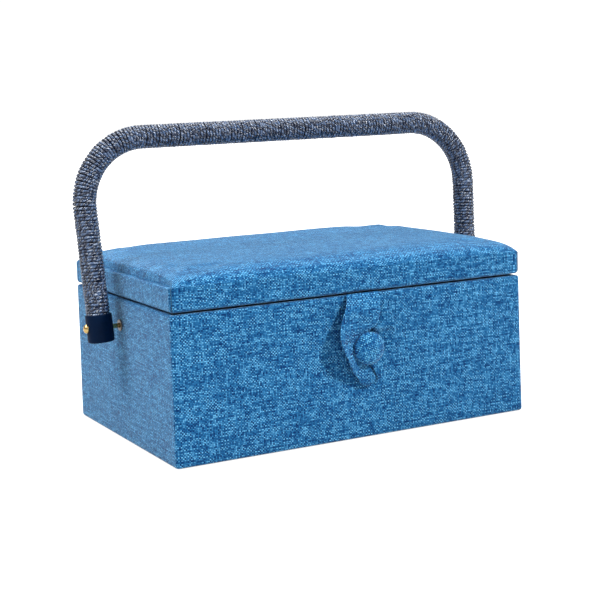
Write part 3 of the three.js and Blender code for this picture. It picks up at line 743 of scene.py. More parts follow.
class LidOperator(bpy.types.Operator):
    """Makes the padded lid: one cloth over foam, pulled down over the lid's edges"""

    bl_idname = "sewing_box.lid"
    bl_label = "Lid"

    CELLS_X, CELLS_Y = 72, 52
    PAD_LIFT = 0.0012  # height of the pad's rim over the side bands
    EASE = 0.72  # how much finer the grid is near the edges
    SWELL_X, SWELL_Y = 12, 10  # how flat the dome is along and across the lid
    SWELL_EDGE = 0.42  # how gently the dome starts at the rim
    SLACK = 0.00035  # unevenness of the cloth on top

    def execute(self, context):
        s = context.scene.box_cloth
        low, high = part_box("lid_cover")
        top, normals, span = self.pad(s, high)
        patches = [(top, span)]
        for side in ("front", "right", "back", "left"):
            patches.append(self.skirt(s, side, normals, top, span, low))
        piece = build("lid_pad", patches)
        count = len(piece.data.vertices)
        places = np.empty(count * 3, np.float32)
        piece.data.vertices.foreach_get("co", places)
        held = places.reshape(-1, 3)[:, 2] < s.lid_edge + self.PAD_LIFT
        inflate(piece, held, pressure=5.0, most=0.0008)
        subdivide(piece)
        settle(piece)
        finish_piece(piece, "lid", linen(), ["lid_cover", "lid_foam"])
        return {"FINISHED"}

    def pad(self, s, high):
        """The top as a grid that is finer near its edges, its rim following the rounded outline."""
        def spread(cells):
            t = np.linspace(-1, 1, cells + 1)
            return self.EASE * np.sin(t * math.pi / 2) + (1 - self.EASE) * t

        u, v = np.meshgrid(spread(self.CELLS_X), spread(self.CELLS_Y))
        flat = np.stack([u * high.x, v * high.y], axis=-1)
        reach = np.maximum(np.abs(u), np.abs(v))
        rim = np.stack([u, v], axis=-1) / np.maximum(reach, 1e-9)[..., None] * [high.x, high.y]
        centre = np.sign(rim) * (np.array([high.x, high.y]) - s.lid_corner)
        away = rim - centre
        outside = (np.abs(rim) > np.abs(centre)).all(axis=-1)
        long = np.maximum(np.linalg.norm(away, axis=-1, keepdims=True), 1e-9)
        rounded = np.where(outside[..., None], centre + away / long * s.lid_corner, rim)
        flat = flat + (reach**10)[..., None] * (rounded - rim)
        on_end = np.abs(np.abs(u) - reach)[..., None] < 1e-9  # the left and right ends of the lid
        square_out = np.where(on_end, [1.0, 0.0], [0.0, 1.0]) * np.sign(rim)
        normals = np.where(outside[..., None], away / long, square_out)
        dome = (1 - np.abs(u) ** self.SWELL_X) * (1 - np.abs(v) ** self.SWELL_Y)
        swell = np.clip(dome, 0, 1) ** self.SWELL_EDGE
        height = s.lid_edge + s.lid_rise * 0.97 * swell
        pinch = self.side_share(flat, high, s) * (reach**40)
        height = height + pinch * self.PAD_LIFT
        flat = flat - normals * (pinch * s.groove)[..., None]
        top = np.dstack([flat, height])
        top[..., 2] += ripple(top, 0.05, 3.1) * self.SLACK * swell
        middle_row, middle_column = top[self.CELLS_Y // 2], top[:, self.CELLS_X // 2]
        run_u, run_v = along(middle_row), along(middle_column)
        span = np.stack(np.meshgrid(run_u, run_v), axis=-1)
        return top, normals, span

    def side_share(self, flat, high, s):
        """1 on the left and right sides, falling to 0 at the corners and along the front and back."""
        side = np.abs(flat[..., 0]) / high.x > 0.97
        return side * smooth_step(high.y - 0.0005, high.y - s.lid_corner - 0.001, np.abs(flat[..., 1]))

    def skirt(self, s, side, normals, top, span, low):
        """The cloth from one edge of the pad down over the rail and in under it."""
        pick = {
            "front": (0, slice(None)), "back": (-1, slice(None)),
            "left": (slice(None), 0), "right": (slice(None), -1),
        }[side]
        edge, start = top[pick], span[pick]
        out = np.column_stack([normals[pick], np.zeros(len(edge))])
        share = np.zeros(len(edge))
        if side in ("left", "right"):
            share = self.side_share(edge[:, :2], -Vector(low), s)
        edge = edge + out * (share * s.groove)[:, None]
        edge_z = s.lid_edge
        levels = [
            (edge_z + 0.0002, 1.05), (edge_z, 0.95), (edge_z - 0.0003, 0.2),
            *((edge_z - drop, 0.0) for drop in (0.0008, 0.0022, 0.0045, 0.0075, 0.0105, 0.0135)),
        ]
        rows = [top[pick]]
        for z, pinch in levels:
            row = edge - out * (share * pinch * s.groove)[:, None]
            row[:, 2] = z
            rows.append(row)
        under = [(0, 0.0022), (0.0007, 0.0008), (0.0021, 0), (0.0038, 0), (0.0058, 0)]
        for inset, z in [(inset, low.z + up) for inset, up in under]:
            row = edge * [1, 1, 0] - self.corner_safe(out, inset, s)
            row[:, 2] = z
            rows.append(row)
        rows = np.array(rows)
        slack = ripple(rows, 0.04, 8.0) * 0.00025
        slack[0] = 0
        rows += out[None] * (slack * smooth_step(low.z, low.z + 0.003, rows[..., 2]))[..., None]
        steps = np.linalg.norm(np.diff(rows, axis=0), axis=2).mean(axis=1)
        down = np.cumsum(np.concatenate([[0], steps]))
        sheet = np.repeat(start[None], len(rows), axis=0)
        axis, sign = {"front": (1, -1), "back": (1, 1), "left": (0, -1), "right": (0, 1)}[side]
        sheet[..., axis] += sign * down[:, None]
        return rows, sheet

    def corner_safe(self, out, inset, s):
        """Moves a row in by inset, and squarely at the corners so that they don't cross."""
        squared = np.sign(out) * (np.abs(out) > 0.02)
        arc = min(inset, s.lid_corner * 0.8)
        return out * arc + squared * (inset - arc)


# --- closure -------------------------------------------------------------------------------------


class ClosureOperator(bpy.types.Operator):
    """Makes the cloth loop that hangs from the lid and the covered button that it goes over"""

    bl_idname = "sewing_box.closure"
    bl_label = "Button and loop"

    SECTIONS, SECTION_POINTS = 110, 49
    SQUARENESS = 0.42  # below 1, the strap's section is squarer than an ellipse
    WALL_GAP = 0.0014  # between the wall and the strap's back
    BUTTON_PRESS = 0.0017  # how far the button's edge presses the strap in
    SEAM_TUCK = 0.0022  # how far the strap's top is tucked in under the lid
    GRAIN_TURN = (0.94, 0.34)  # cosine and sine of the turn of the button's cloth
    # Each edge of a strand as (height above the floor, place along the front), in millimetres.
    LEFT_STRAND = (
        [(109.8, -9.5), (101, -14), (94, -18.5), (87, -21.5), (80, -22.5), (72, -20.5), (63, -15.5),
         (52, -9), (46, -3.5), (42, -1), (39.5, 3)],
        [(109.8, 16.5), (101, 17), (94, 16), (87, 13), (84, 10.5), (81, 5.5), (77, -1), (72, -2.5), (63, 1.5),
         (52, 8), (44, 11.5), (39.5, 8)],
    )
    RIGHT_STRAND = (
        [(109.8, 3), (94, 6), (80, 12), (70, 11.5), (63, 10), (57, 8), (49, 12), (44, 13.5), (42, 12.5)],
        [(109.8, 17.5), (94, 24.5), (83, 28.5), (76, 30), (69, 29), (63, 26), (57, 23), (49, 19), (42, 14.5)],
    )

    def execute(self, context):
        left = self.strand("left", self.LEFT_STRAND, lift=0.0068, depth=0.0009)
        right = self.strand("right", self.RIGHT_STRAND, lift=0.0014, depth=0.0008)
        loop = build("closure_loop", [left, right], weld=1e-7)
        finish_piece(loop, None, linen(), ["closure_flap"])
        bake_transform(loop)
        self.cover_button()
        return {"FINISHED"}

    def strand(self, name, table, lift, depth):
        """A strap folded flat, as rounded sections from the seam down to the tip."""
        heights, outer, inner = self.edges(table)
        turn = np.linspace(0, 2 * math.pi, self.SECTION_POINTS)
        across, through = [np.sign(w) * np.abs(w) ** self.SQUARENESS for w in (np.cos(turn), np.sin(turn))]
        fall = (heights[0] - heights) / (heights[0] - heights[-1])
        middle, half = (outer + inner) / 2, (inner - outer) / 2
        thick = depth * (0.55 + 0.45 * smooth_step(0, 0.12, fall))
        tip = np.sqrt(np.clip(1 - smooth_step(0.93, 1.0, fall) ** 2, 0.02, 1))
        thick, half = thick * tip, half * (0.4 + 0.6 * tip)
        x = middle[:, None] + half[:, None] * across
        z = heights[:, None] + 0 * across
        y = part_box("closure_flap")[1].y - self.off_wall(name, lift, fall, across)
        y = y - thick[:, None] * (1 + through)
        y += self.creases(name, x, z)
        y += self.valley(name, x, z, across, fall)
        low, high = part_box("closure_button")
        near = np.hypot(x - (low.x + high.x) / 2, z - (low.z + high.z) / 2)
        y += self.BUTTON_PRESS * smooth_step(0.0175, 0.0115, near)
        y += smooth_step(0.035, 0.0, fall)[:, None] * self.SEAM_TUCK
        grid = np.stack([x, y, z], axis=-1)
        sheet = np.stack([x - 0.8 * y, z], axis=-1)
        ends = [np.repeat(grid[i].mean(axis=0)[None], len(turn), axis=0)[None] for i in (0, -1)]
        grid = np.concatenate([ends[0], grid, ends[1]])
        sheet = np.concatenate([sheet[:1], sheet, sheet[-1:]])
        return grid, sheet

    def edges(self, strand):
        """The strap's heights, with its outer and inner edge at each."""
        heights = np.linspace(strand[0][0][0], strand[0][-1][0], self.SECTIONS) * MM
        return heights, *[smooth_through(np.array(edge) * MM, heights) for edge in strand]

    def off_wall(self, name, lift, fall, across):
        """How far the strap's back stands off the wall: both strands bow out, most at their outer edges."""
        bow = {"left": 0.5, "right": -0.2}[name]
        stand = bow * lift * smooth_step(0.0, 0.2, fall) * smooth_step(1.0, 0.55, fall)
        outside = np.clip(-across, 0, 1) if name == "left" else np.clip(across, 0, 1)
        roll = lift * outside * np.sin(np.pi * np.clip(fall, 0, 1))[:, None] ** 1.5
        return self.WALL_GAP + stand[:, None] + roll

    def valley(self, name, x, z, across, fall):
        """Rolls the two strands down into the line where they meet, above the button."""
        reach = (smooth_step(0.02, 0.1, fall) * smooth_step(0.46, 0.38, fall))[:, None]
        if name == "left":
            return 0.0011 * reach * np.clip(across, 0, 1) ** 3
        line = smooth_through(np.array(self.LEFT_STRAND[1]) * MM, z)
        return -0.0024 * reach * smooth_step(line - 0.0002, line + 0.003, x)

    def creases(self, name, x, z):
        """Soft folds pressed into the strap."""
        folds = {
            "left": [((-15, 75.5), (-4, 70), 1.1, 1.5), ((-14, 92), (9, 86), 0.5, 2.4)],
            "right": [((20, 92), (24, 62), 0.5, 2.2)],
        }[name]
        depth = np.zeros_like(x)
        for (x0, z0), (x1, z1), deep, wide in folds:
            run = np.array([x1 - x0, z1 - z0]) * MM
            away = np.stack([x - x0 * MM, z - z0 * MM], axis=-1)
            t = np.clip(away @ run / (run @ run), 0, 1)
            gap = np.linalg.norm(away - t[..., None] * run, axis=-1)
            depth += deep * MM * np.exp(-((gap / (wide * MM)) ** 2))
        return depth

    def cover_button(self):
        """A domed button with small puckers where its cloth is gathered round the edge."""
        low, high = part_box("closure_button")
        middle = (low + high) / 2
        radius = (high.x - low.x) / 2
        thick = high.y - low.y
        profile = [(0.0, 0.0)]
        steps = 28
        for k in range(1, steps + 1):
            turn = k / steps * math.pi / 2
            dome = thick * 0.62 * (1 - math.cos(turn) ** 1.15)
            profile.append((radius * math.sin(turn) ** 0.92, dome))
        back = [(0.995, 0.72), (0.96, 0.86), (0.86, 0.97), (0.6, 1), (0.0, 1)]
        profile += [(radius * out, thick * deep) for out, deep in back]
        points, _ = turned(profile, "Y", (middle.x, low.y, middle.z), 96)
        out = points - np.array(middle)
        turn = np.arctan2(out[..., 2], out[..., 0])
        edge = smooth_step(radius * 0.72, radius * 0.98, np.hypot(out[..., 0], out[..., 2]))
        pucker = edge * (np.sin(turn * 17) + 0.6 * np.sin(turn * 29 + 1.1)) * 0.00009
        points = points - out / np.linalg.norm(out, axis=-1, keepdims=True) * pucker[..., None]
        x, z = points[..., 0], points[..., 2]
        straight, aslant = self.GRAIN_TURN
        sheet = np.stack([x * straight + z * aslant, z * straight - x * aslant], axis=-1)
        piece = build("button_cloth", [(points, sheet * 1.08)])
        # The button's cloth is the linen painted 18% lighter: painted light standing for the light the domed
        # button catches.
        finish_piece(piece, "root", linen(1.18), ["closure_button"])


# --- handle --------------------------------------------------------------------------------------


def cord_material():
    """Glossy two-ply cord: one dark and one pale strand that twist round each other, with painted glints on
    the plies' crests and painted shade in the grooves and between the turns.
    """
    s = bpy.context.scene.box_handle
    material, g, shader = finish("twisted_cord", Specular_IOR_Level=0.6)
    u, v, _ = g.split(g.node("UVMap", uv_map="cloth").outputs[0])
    round_cord = g.math("MULTIPLY", v, 2 * math.pi)
    uneven = g.math("MULTIPLY", g.noise(g.join(g.math("MULTIPLY", u, 75.0), 0.0), 1.0, 2.0), 26.0)
    twist = g.math("MULTIPLY_ADD", u, 2 * math.pi / s.ply_pitch, g.math("ADD", round_cord, uneven))
    swing = g.math("SINE", twist)
    ply = g.math("ABSOLUTE", swing)
    strand = g.math("MULTIPLY_ADD", swing, 3.0, 0.5, clamp=True)
    cell = g.join(g.math("MULTIPLY", u, 420.0), g.math("MULTIPLY", twist, 0.9))
    fibre = g.noise(cell, 1.0, 3.0, 0.6)
    patch = g.noise(g.node("TexCoord").outputs["Object"], 260.0, 2.0)
    tint = g.blend(strand, rgba(s.navy), rgba(s.slate))
    # Painted glints: a whitish colour laid on the crests of the plies, patchy along the cord, where the
    # fibres would catch the light.
    shine = g.math("MULTIPLY_ADD", g.math("SUBTRACT", fibre, 0.53), 7.0, g.math("SUBTRACT", patch, 0.5))
    shine = g.math("MULTIPLY", g.math("MULTIPLY", shine, ply, clamp=True), 0.95)
    tint = g.blend(shine, tint, rgba(s.painted_glint))
    # Painted shade: the grooves between the plies and the side of each turn that faces its neighbours are
    # darkened towards a deep navy.
    groove = g.math("MULTIPLY_ADD", ply, -3.0, 1.0, clamp=True)
    inward = g.math("MULTIPLY_ADD", g.math("COSINE", round_cord), -2.0, 1.6, clamp=True)
    tint = g.blend(g.math("MAXIMUM", groove, inward), tint, rgba([c * 0.3 for c in s.navy]))
    g.feed(shader.inputs["Base Color"], tint)
    g.feed(shader.inputs["Roughness"], g.math("MULTIPLY_ADD", fibre, 0.3, 0.08))
    bump(g, shader, g.math("MULTIPLY_ADD", fibre, 0.25, ply), 0.00045)
    return material


class HandleOperator(bpy.types.Operator):
    """Winds the cord round the hoop and puts the caps on its ends"""

    bl_idname = "sewing_box.handle"
    bl_label = "Handle"

    LOW_END = 0.009  # where the winding starts, above the pivot
    RINGS_PER_TURN, SIDES = 26, 9
    UNEVEN = 0.5  # how far a turn may slip along the hoop, in turns
    SLACK = 0.00022
    CAP_RADIUS = 0.0100

    def execute(self, context):
        s = context.scene.box_handle
        joint = next(j for j in frame["joints"] if j["name"] == "handle_swing")
        self.pivot = np.array(joint["pos_m"], float)
        cap_low, cap_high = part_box("right_handle_cap")
        self.leg_x = (cap_low.x + cap_high.x) / 2
        self.lean = Matrix.Rotation(-s.lean, 3, "X")
        self.rise = (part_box("handle_wrap")[1].z - self.pivot[2] - s.wrap_radius) / math.cos(s.lean)
        self.wind(s)
        for side, sign in (("left", -1), ("right", 1)):
            self.cap(s, side, sign)
        # The core shows only between the turns of the winding, so it is painted near black as painted shade
        # for those gaps.
        paint_node("handle_core", hard_material(
            "dark_rod", (0.05, 0.06, 0.08), (0.02, 0.02, 0.03), 80.0, 0.5, 0.5, 1e-5))
        return {"FINISHED"}

    def path(self, s, low_end):
        """The hoop's centre line in its own plane, from the right leg's end over to the left one's."""
        bend_z = self.rise - s.corner
        bend_x = self.leg_x + bend_z * math.tan(s.splay) - s.corner / math.cos(s.splay)
        foot = np.array([self.leg_x + low_end * math.tan(s.splay), low_end])
        turns = np.linspace(-s.splay, math.pi / 2, 90)
        arc = np.column_stack([bend_x + s.corner * np.cos(turns), bend_z + s.corner * np.sin(turns)])
        half = np.vstack([foot, arc, [0, self.rise]])
        line = np.vstack([half, (half * [-1, 1])[::-1][1:]])
        return np.array(divided_line(list(line), 0.0012))

    def put(self, points):
        """From the hoop's own plane to its place on the box."""
        return points @ np.array(self.lean).T + self.pivot

    def wind(self, s):
        """One cord wound closely round the hoop, each turn a little out of place."""
        line = self.path(s, self.LOW_END)
        total = along(line)
        cord_r = s.turn_pitch / 2
        turns = total[-1] / s.turn_pitch
        rings = int(turns * self.RINGS_PER_TURN)
        here = np.linspace(0, total[-1], rings)
        slip = np.array([noise.noise(Vector((d * 60, 1.7, 0))) + 0.5 * noise.noise(Vector((d * 230, 9.1, 0)))
                         for d in here])
        where = np.clip(here + slip * s.turn_pitch * self.UNEVEN, 0, total[-1])
        behind, centre, ahead = [
            np.column_stack([np.interp(where + step, total, line[:, k]) for k in (0, 1)])
            for step in (-0.0006, 0, 0.0006)
        ]
        run = ahead - behind
        run /= np.linalg.norm(run, axis=1, keepdims=True)
        tangent = np.column_stack([run[:, 0], np.zeros(rings), run[:, 1]])
        out = np.column_stack([run[:, 1], np.zeros(rings), -run[:, 0]])
        across = np.tile([0.0, 1.0, 0.0], (rings, 1))
        turn = 2 * math.pi * here / s.turn_pitch
        radial = across * np.cos(turn)[:, None] + out * np.sin(turn)[:, None]
        loose = np.array([noise.noise(Vector((t * 0.9, 4.4, 0.3))) for t in turn]) * self.SLACK
        reach = s.wrap_radius - cord_r * 0.98 + loose - 0.0001
        middle = np.column_stack([centre[:, 0], np.zeros(rings), centre[:, 1]]) + radial * reach[:, None]
        phase = np.linspace(0, 2 * math.pi, self.SIDES + 1)
        grid = (middle[:, None] + radial[:, None] * (cord_r * 0.95 * np.cos(phase))[None, :, None]
                + tangent[:, None] * (cord_r * 1.06 * np.sin(phase))[None, :, None])
        along_cord = (turn * s.wrap_radius)[:, None] + 0 * phase
        round_cord = phase / (2 * math.pi) + 0 * turn[:, None]
        sheet = np.stack([along_cord, round_cord], axis=-1)
        points = self.put(grid.reshape(-1, 3)).reshape(grid.shape)
        piece = build("handle_winding", [(points, sheet)], weld=1e-7)
        finish_piece(piece, "handle", kept("cord", cord_material), ["handle_wrap"])

    def cap(self, s, side, sign):
        """A moulded cap with a domed end and a rolled lip."""
        low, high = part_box(f"{side}_handle_cap")
        radius = min((high.y - low.y) / 2, self.CAP_RADIUS)
        profile = [
            (0, -0.011), (radius * 0.8, -0.011), (radius * 0.97, -0.0104), (radius, -0.0088),
            (radius, 0.0085), (radius, 0.0097), (radius - 0.0008, 0.0101), (0.0074, 0.0099), (0.0064, 0.0085),
        ]
        profile = rounded_line(profile, 0.0014, 6)
        points, sheet = turned(profile, "Z", (0, 0, 0), 64)
        tilt = Matrix.Rotation(sign * s.splay, 3, "Y")
        points = points.reshape(-1, 3) @ np.array(tilt).T + [sign * self.leg_x, 0, 0]
        points = self.put(points).reshape(sheet.shape[0], sheet.shape[1], 3)
        piece = build(f"{side}_cap", [(points, sheet)])
        material = kept("caps", lambda: hard_material(
            "navy_moulding", s.cap_colour, (0.001, 0.012, 0.04), 70.0, 0.5, 0.45, 6e-6,
            Specular_IOR_Level=0.06))
        finish_piece(piece, "handle", material, [f"{side}_handle_cap"])


class PivotOperator(bpy.types.Operator):
    """Makes the brass bolts that the handle swings on, with their washers and nuts"""

    bl_idname = "sewing_box.pivots"
    bl_label = "Pivot bolts"

    def execute(self, context):
        for side, sign in (("left", -1), ("right", 1)):
            self.bolt(side, sign)
            for name in ("outer_washer", "inner_washer"):
                self.ring(side, name)
            self.nut(side)
        return {"FINISHED"}

    def bolt(self, side, sign):
        """A smooth shank with a domed head on the outside."""
        low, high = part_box(f"{side}_pivot_bolt")
        middle = (low + high) / 2
        tip, end = sorted([abs(low.x), abs(high.x)])
        shank, head, rise = 0.0018, 0.0034, 0.0025
        seat = end - rise - 0.0006
        profile = [
            (0, tip), (shank - 0.0003, tip), (shank, tip + 0.0005), (shank, seat), (head - 0.0001, seat),
            (head, seat + 0.0005),
        ]
        dome = [(head * math.cos(a), seat + 0.0006 + rise * math.sin(a))
                for a in np.linspace(0.05, math.pi / 2, 14)]
        points, sheet = turned(profile + dome, "X", (0, middle.y, middle.z), 40, sign)
        piece = build(f"{side}_bolt", [(points, sheet)], sharp=40)
        finish_piece(piece, "pivots", fitting_finish("polished_brass"), [f"{side}_pivot_bolt"])

    def ring(self, side, name):
        """A flat washer with softened edges."""
        node = f"{side}_pivot_{name}"
        low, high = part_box(node)
        middle = (low + high) / 2
        half, outer, inner = (high.x - low.x) / 2, (high.y - low.y) / 2, 0.0021
        profile = [(inner, -half), (outer, -half), (outer, half), (inner, half), (inner, -half)]
        profile = rounded_line(profile, 0.00025, 3)
        points, sheet = turned(profile, "X", middle, 48)
        piece = build(f"{side}_{name}", [(points, sheet)], sharp=50)
        finish_piece(piece, "pivots", fitting_finish("plated"), [node])

    def nut(self, side):
        """A six-sided nut with turned-off corners."""
        low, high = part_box(f"{side}_pivot_nut")
        middle = (low + high) / 2
        half, radius, bore = (high.x - low.x) / 2, 0.004, 0.0019
        turn = np.linspace(0, 2 * math.pi, 49)
        hexagon = math.cos(math.pi / 6) / np.cos((turn + math.pi / 6) % (math.pi / 3) - math.pi / 6)
        rows = []
        sections = [
            (bore, -half), (radius * 0.89, -half), (radius * 1.03, -half + 0.0005),
            (radius * 1.03, half - 0.0005), (radius * 0.89, half), (bore, half), (bore, -half),
        ]
        for most, x in sections:
            reach = np.minimum(radius * hexagon, most)
            rows.append(np.column_stack([x + 0 * turn, reach * np.cos(turn), reach * np.sin(turn)]))
        points = np.array(rows) + np.array(middle)
        piece = build(f"{side}_nut", [(points, None)], sharp=25)
        finish_piece(piece, "pivots", fitting_finish("plated"), [f"{side}_pivot_nut"])


# --- hinges --------------------------------------------------------------------------------------


class HingeOperator(bpy.types.Operator):
    """Makes the two steel hinges at the back, with their pins and screws"""

    bl_idname = "sewing_box.hinges"
    bl_label = "Hinges"

    def execute(self, context):
        for side in ("left", "right"):
            low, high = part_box(f"{side}_hinge_pin")
            centre = (low + high) / 2
            self.pin(side, low, high, centre)
            for on, body in (("body", "root"), ("lid", "lid")):
                self.leaf(side, on, body, centre)
                for end in ("outer", "inner"):
                    self.screw(side, on, body, end)
        return {"FINISHED"}

    def pin(self, side, low, high, centre):
        half, radius = (high.x - low.x) / 2, (high.z - low.z) / 2
        profile = rounded_line([(0, -half), (radius, -half), (radius, half), (0, half)], 0.0004, 4)
        points, sheet = turned(profile, "X", centre, 32)
        piece = build(f"{side}_pin", [(points, sheet)], sharp=50)
        finish_piece(piece, "root", fitting_finish("steel"), [f"{side}_hinge_pin"])

    def leaf(self, side, on, body, centre):
        """A pressed plate with rounded outer corners, rolled round the pin in knuckles."""
        node = f"{side}_hinge_{on}_leaf"
        low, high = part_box(node)
        barrel, bore = 0.0026, 0.0014
        up = 1 if on == "lid" else -1
        thick = 0.0011
        far = high.z if on == "lid" else low.z
        near = centre.z + up * (barrel + 0.0003)
        patches = [self.plate(low.x, high.x, low.y, thick, near, far)]
        gap, middle = 0.0004, 0.0041
        half = (high.x - low.x) / 2
        spans = [(-middle, middle)] if on == "lid" else [(-half, -middle - gap), (middle + gap, half)]
        for a, b in spans:
            profile = [(bore, a), (barrel, a), (barrel, b), (bore, b), (bore, a)]
            patches.append(turned(rounded_line(profile, 0.0003, 3), "X", centre, 36))
            web = self.plate(centre.x + a, centre.x + b, low.y, thick, centre.z, near + up * 0.0004, 0.0)
            patches.append(web)
        piece = build(f"{side}_{on}_leaf", patches, weld=1e-8, sharp=35)
        finish_piece(piece, body, fitting_finish("steel"), [node])

    def plate(self, x0, x1, y, thick, near, far, corner=0.0022):
        """A flat plate, its far corners rounded and its outer edge softened."""
        edge = 0.0002
        shape = [(x0, near), (x0, far), (x1, far), (x1, near)]
        shape = rounded_line(shape, corner, 6) if corner else [np.array(p) for p in shape]
        shape = np.array([*shape, shape[0]])
        centre = np.array([(x0 + x1) / 2, (near + far) / 2])
        middle = np.repeat(centre[None], len(shape), axis=0)
        inward = np.sign(centre - shape)
        soft = edge * 0.3
        rings = [
            (middle, 0), (shape, 0), (shape, thick - edge), (shape + inward * soft, thick - soft),
            (shape + inward * edge, thick), (middle, thick),
        ]
        rows = []
        for ring, level in rings:
            rows.append(np.column_stack([ring[:, 0], np.full(len(ring), y + level), ring[:, 1]]))
        return np.array(rows), None

    def screw(self, side, on, body, end):
        """A round-headed wood screw with a straight slot."""
        node = f"{side}_hinge_{on}_screw_{end}"
        low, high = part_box(node)
        middle = (low + high) / 2
        radius = (high.x - low.x) / 2
        seat = high.y - 0.0011
        shank = 0.001
        profile = [(0, low.y), (shank, low.y + 0.0006), (shank, seat), (radius, seat)]
        profile += [(radius * math.cos(a), seat + 0.0002 + 0.0009 * math.sin(a))
                    for a in np.linspace(0, math.pi / 2, 10)]
        points, sheet = turned(profile, "Y", (middle.x, 0, middle.z), 40)
        turn = {"outer": 0.5, "inner": -0.9}[end] + (0.7 if on == "lid" else 0.0)
        away = (points[..., 0] - middle.x) * math.cos(turn) + (points[..., 2] - middle.z) * math.sin(turn)
        slot = smooth_step(0.00042, 0.0003, np.abs(away)) * (points[..., 1] > seat + 0.0001)
        slot_depth = 0.0005
        points[..., 1] -= slot * slot_depth
        piece = build(f"{side}_{on}_screw_{end}", [(points, sheet)], sharp=40)
        finish_piece(piece, body, fitting_finish("steel"), [node])


# --- trays ---------------------------------------------------------------------------------------


class TrayOperator(bpy.types.Operator):
    """Makes the two moulded trays with their rounded compartments"""

    bl_idname = "sewing_box.trays"
    bl_label = "Trays"

    ROWS = {"left": (2, 2, 2), "right": (1, 3, 2)}

    def execute(self, context):
        s = context.scene.box_inside
        material = hard_material("tray_moulding", s.tray, (0.42, 0.43, 0.41), 35.0, 0.5, 0.33, 8e-6,
                                 Subsurface_Weight=0.06, Subsurface_Scale=0.002)
        for side, rows in self.ROWS.items():
            node = f"{side}_tray"
            low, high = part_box(node)
            middle = ((low + high) / 2).xy
            patches = [self.shell(s, low, high)]
            patches += self.pockets(s, low, high, rows)
            patches = [(points + [middle.x, middle.y, 0], None) for points in patches]
            piece = build(f"{side}_tray_moulding", patches, fill_holes=True)
            piece.modifiers.new("flat_faces", "WEIGHTED_NORMAL").keep_sharp = True
            finish_piece(piece, node, material, [node])
        return {"FINISHED"}

    def shell(self, s, low, high):
        """The outside: rolled rim, flange, walls and floor."""
        half_x, half_y = (high.x - low.x) / 2, (high.y - low.y) / 2
        side, front = s.tray_wall, s.tray_flange
        rim = [
            (0.0009, 0.0041, 0), (0.0004, 0.0046, 0.0001), (0.0001, 0.0049, 0.0004), (0, 0.005, 0.0009),
            (0, 0.005, 0.0017), (0.0003, 0.0047, 0.002),
        ]
        rows = [(inset, inset, corner, high.z - drop) for inset, corner, drop in rim]
        rows += [
            (side - 0.0003, front - 0.0004, 0.0047, high.z - 0.002), (side, front, 0.0046, high.z - 0.0024),
            (side + 0.0008, front + 0.0008, 0.0045, low.z + 0.003),
            (side + 0.0012, front + 0.0012, 0.0042, low.z + 0.0012),
            (side + 0.0022, front + 0.0022, 0.0036, low.z + 0.0002),
            (side + 0.004, front + 0.004, 0.003, low.z),
        ]
        grid = []
        for inset_x, inset_y, radius, z in rows:
            ring = outline(half_x - inset_x, half_y - inset_y, radius, (12, 16), 6)
            grid.append(np.column_stack([ring, np.full(len(ring), z)]))
        grid.append(grid[-1] * [0, 0, 1])
        return np.array(grid)

    def pockets(self, s, low, high, rows):
        """One rounded well for each compartment, with sides that draw in a little to the floor."""
        wall = s.tray_wall
        inside_x = (high.x - low.x) / 2 - 2 * wall
        inside_y = (high.y - low.y) / 2 - s.tray_flange - wall
        deep = (2 * inside_y - wall * (len(rows) - 1)) / len(rows)
        made = []
        for r, cells in enumerate(rows):
            wide = (2 * inside_x - wall * (cells - 1)) / cells
            for c in range(cells):
                x = -inside_x + c * (wide + wall) + wide / 2
                y = -inside_y + r * (deep + wall) + deep / 2
                made.append(self.pocket(wide / 2, deep / 2, low.z + wall, high.z) + [x, y, 0])
        return made

    def pocket(self, half_x, half_y, floor_z, top_z):
        """A well with a rolled lip and a round foot."""
        lip = 0.0005
        rows = [(-lip * out, top_z - lip * drop) for out, drop in [(1, 0), (0.5, 0.15), (0.15, 0.5), (0, 1)]]
        rows += [(0.0002, top_z - 0.01), (0.0005, top_z - 0.024)]
        curve, steps = 0.0032, 6
        for k in range(steps + 1):
            turn = k / steps * math.pi / 2
            rows.append((0.0007 + curve * (1 - math.cos(turn)), floor_z + curve * (1 - math.sin(turn))))
        grid = []
        for inset, z in rows:
            ring = outline(half_x - inset, half_y - inset, 0.003 - min(inset, 0.002), (6, 6), 6)
            grid.append(np.column_stack([ring, np.full(len(ring), z)]))
        grid.append(grid[-1] * [0, 0, 1])
        return np.array(grid)


# --- inside --------------------------------------------------------------------------------------


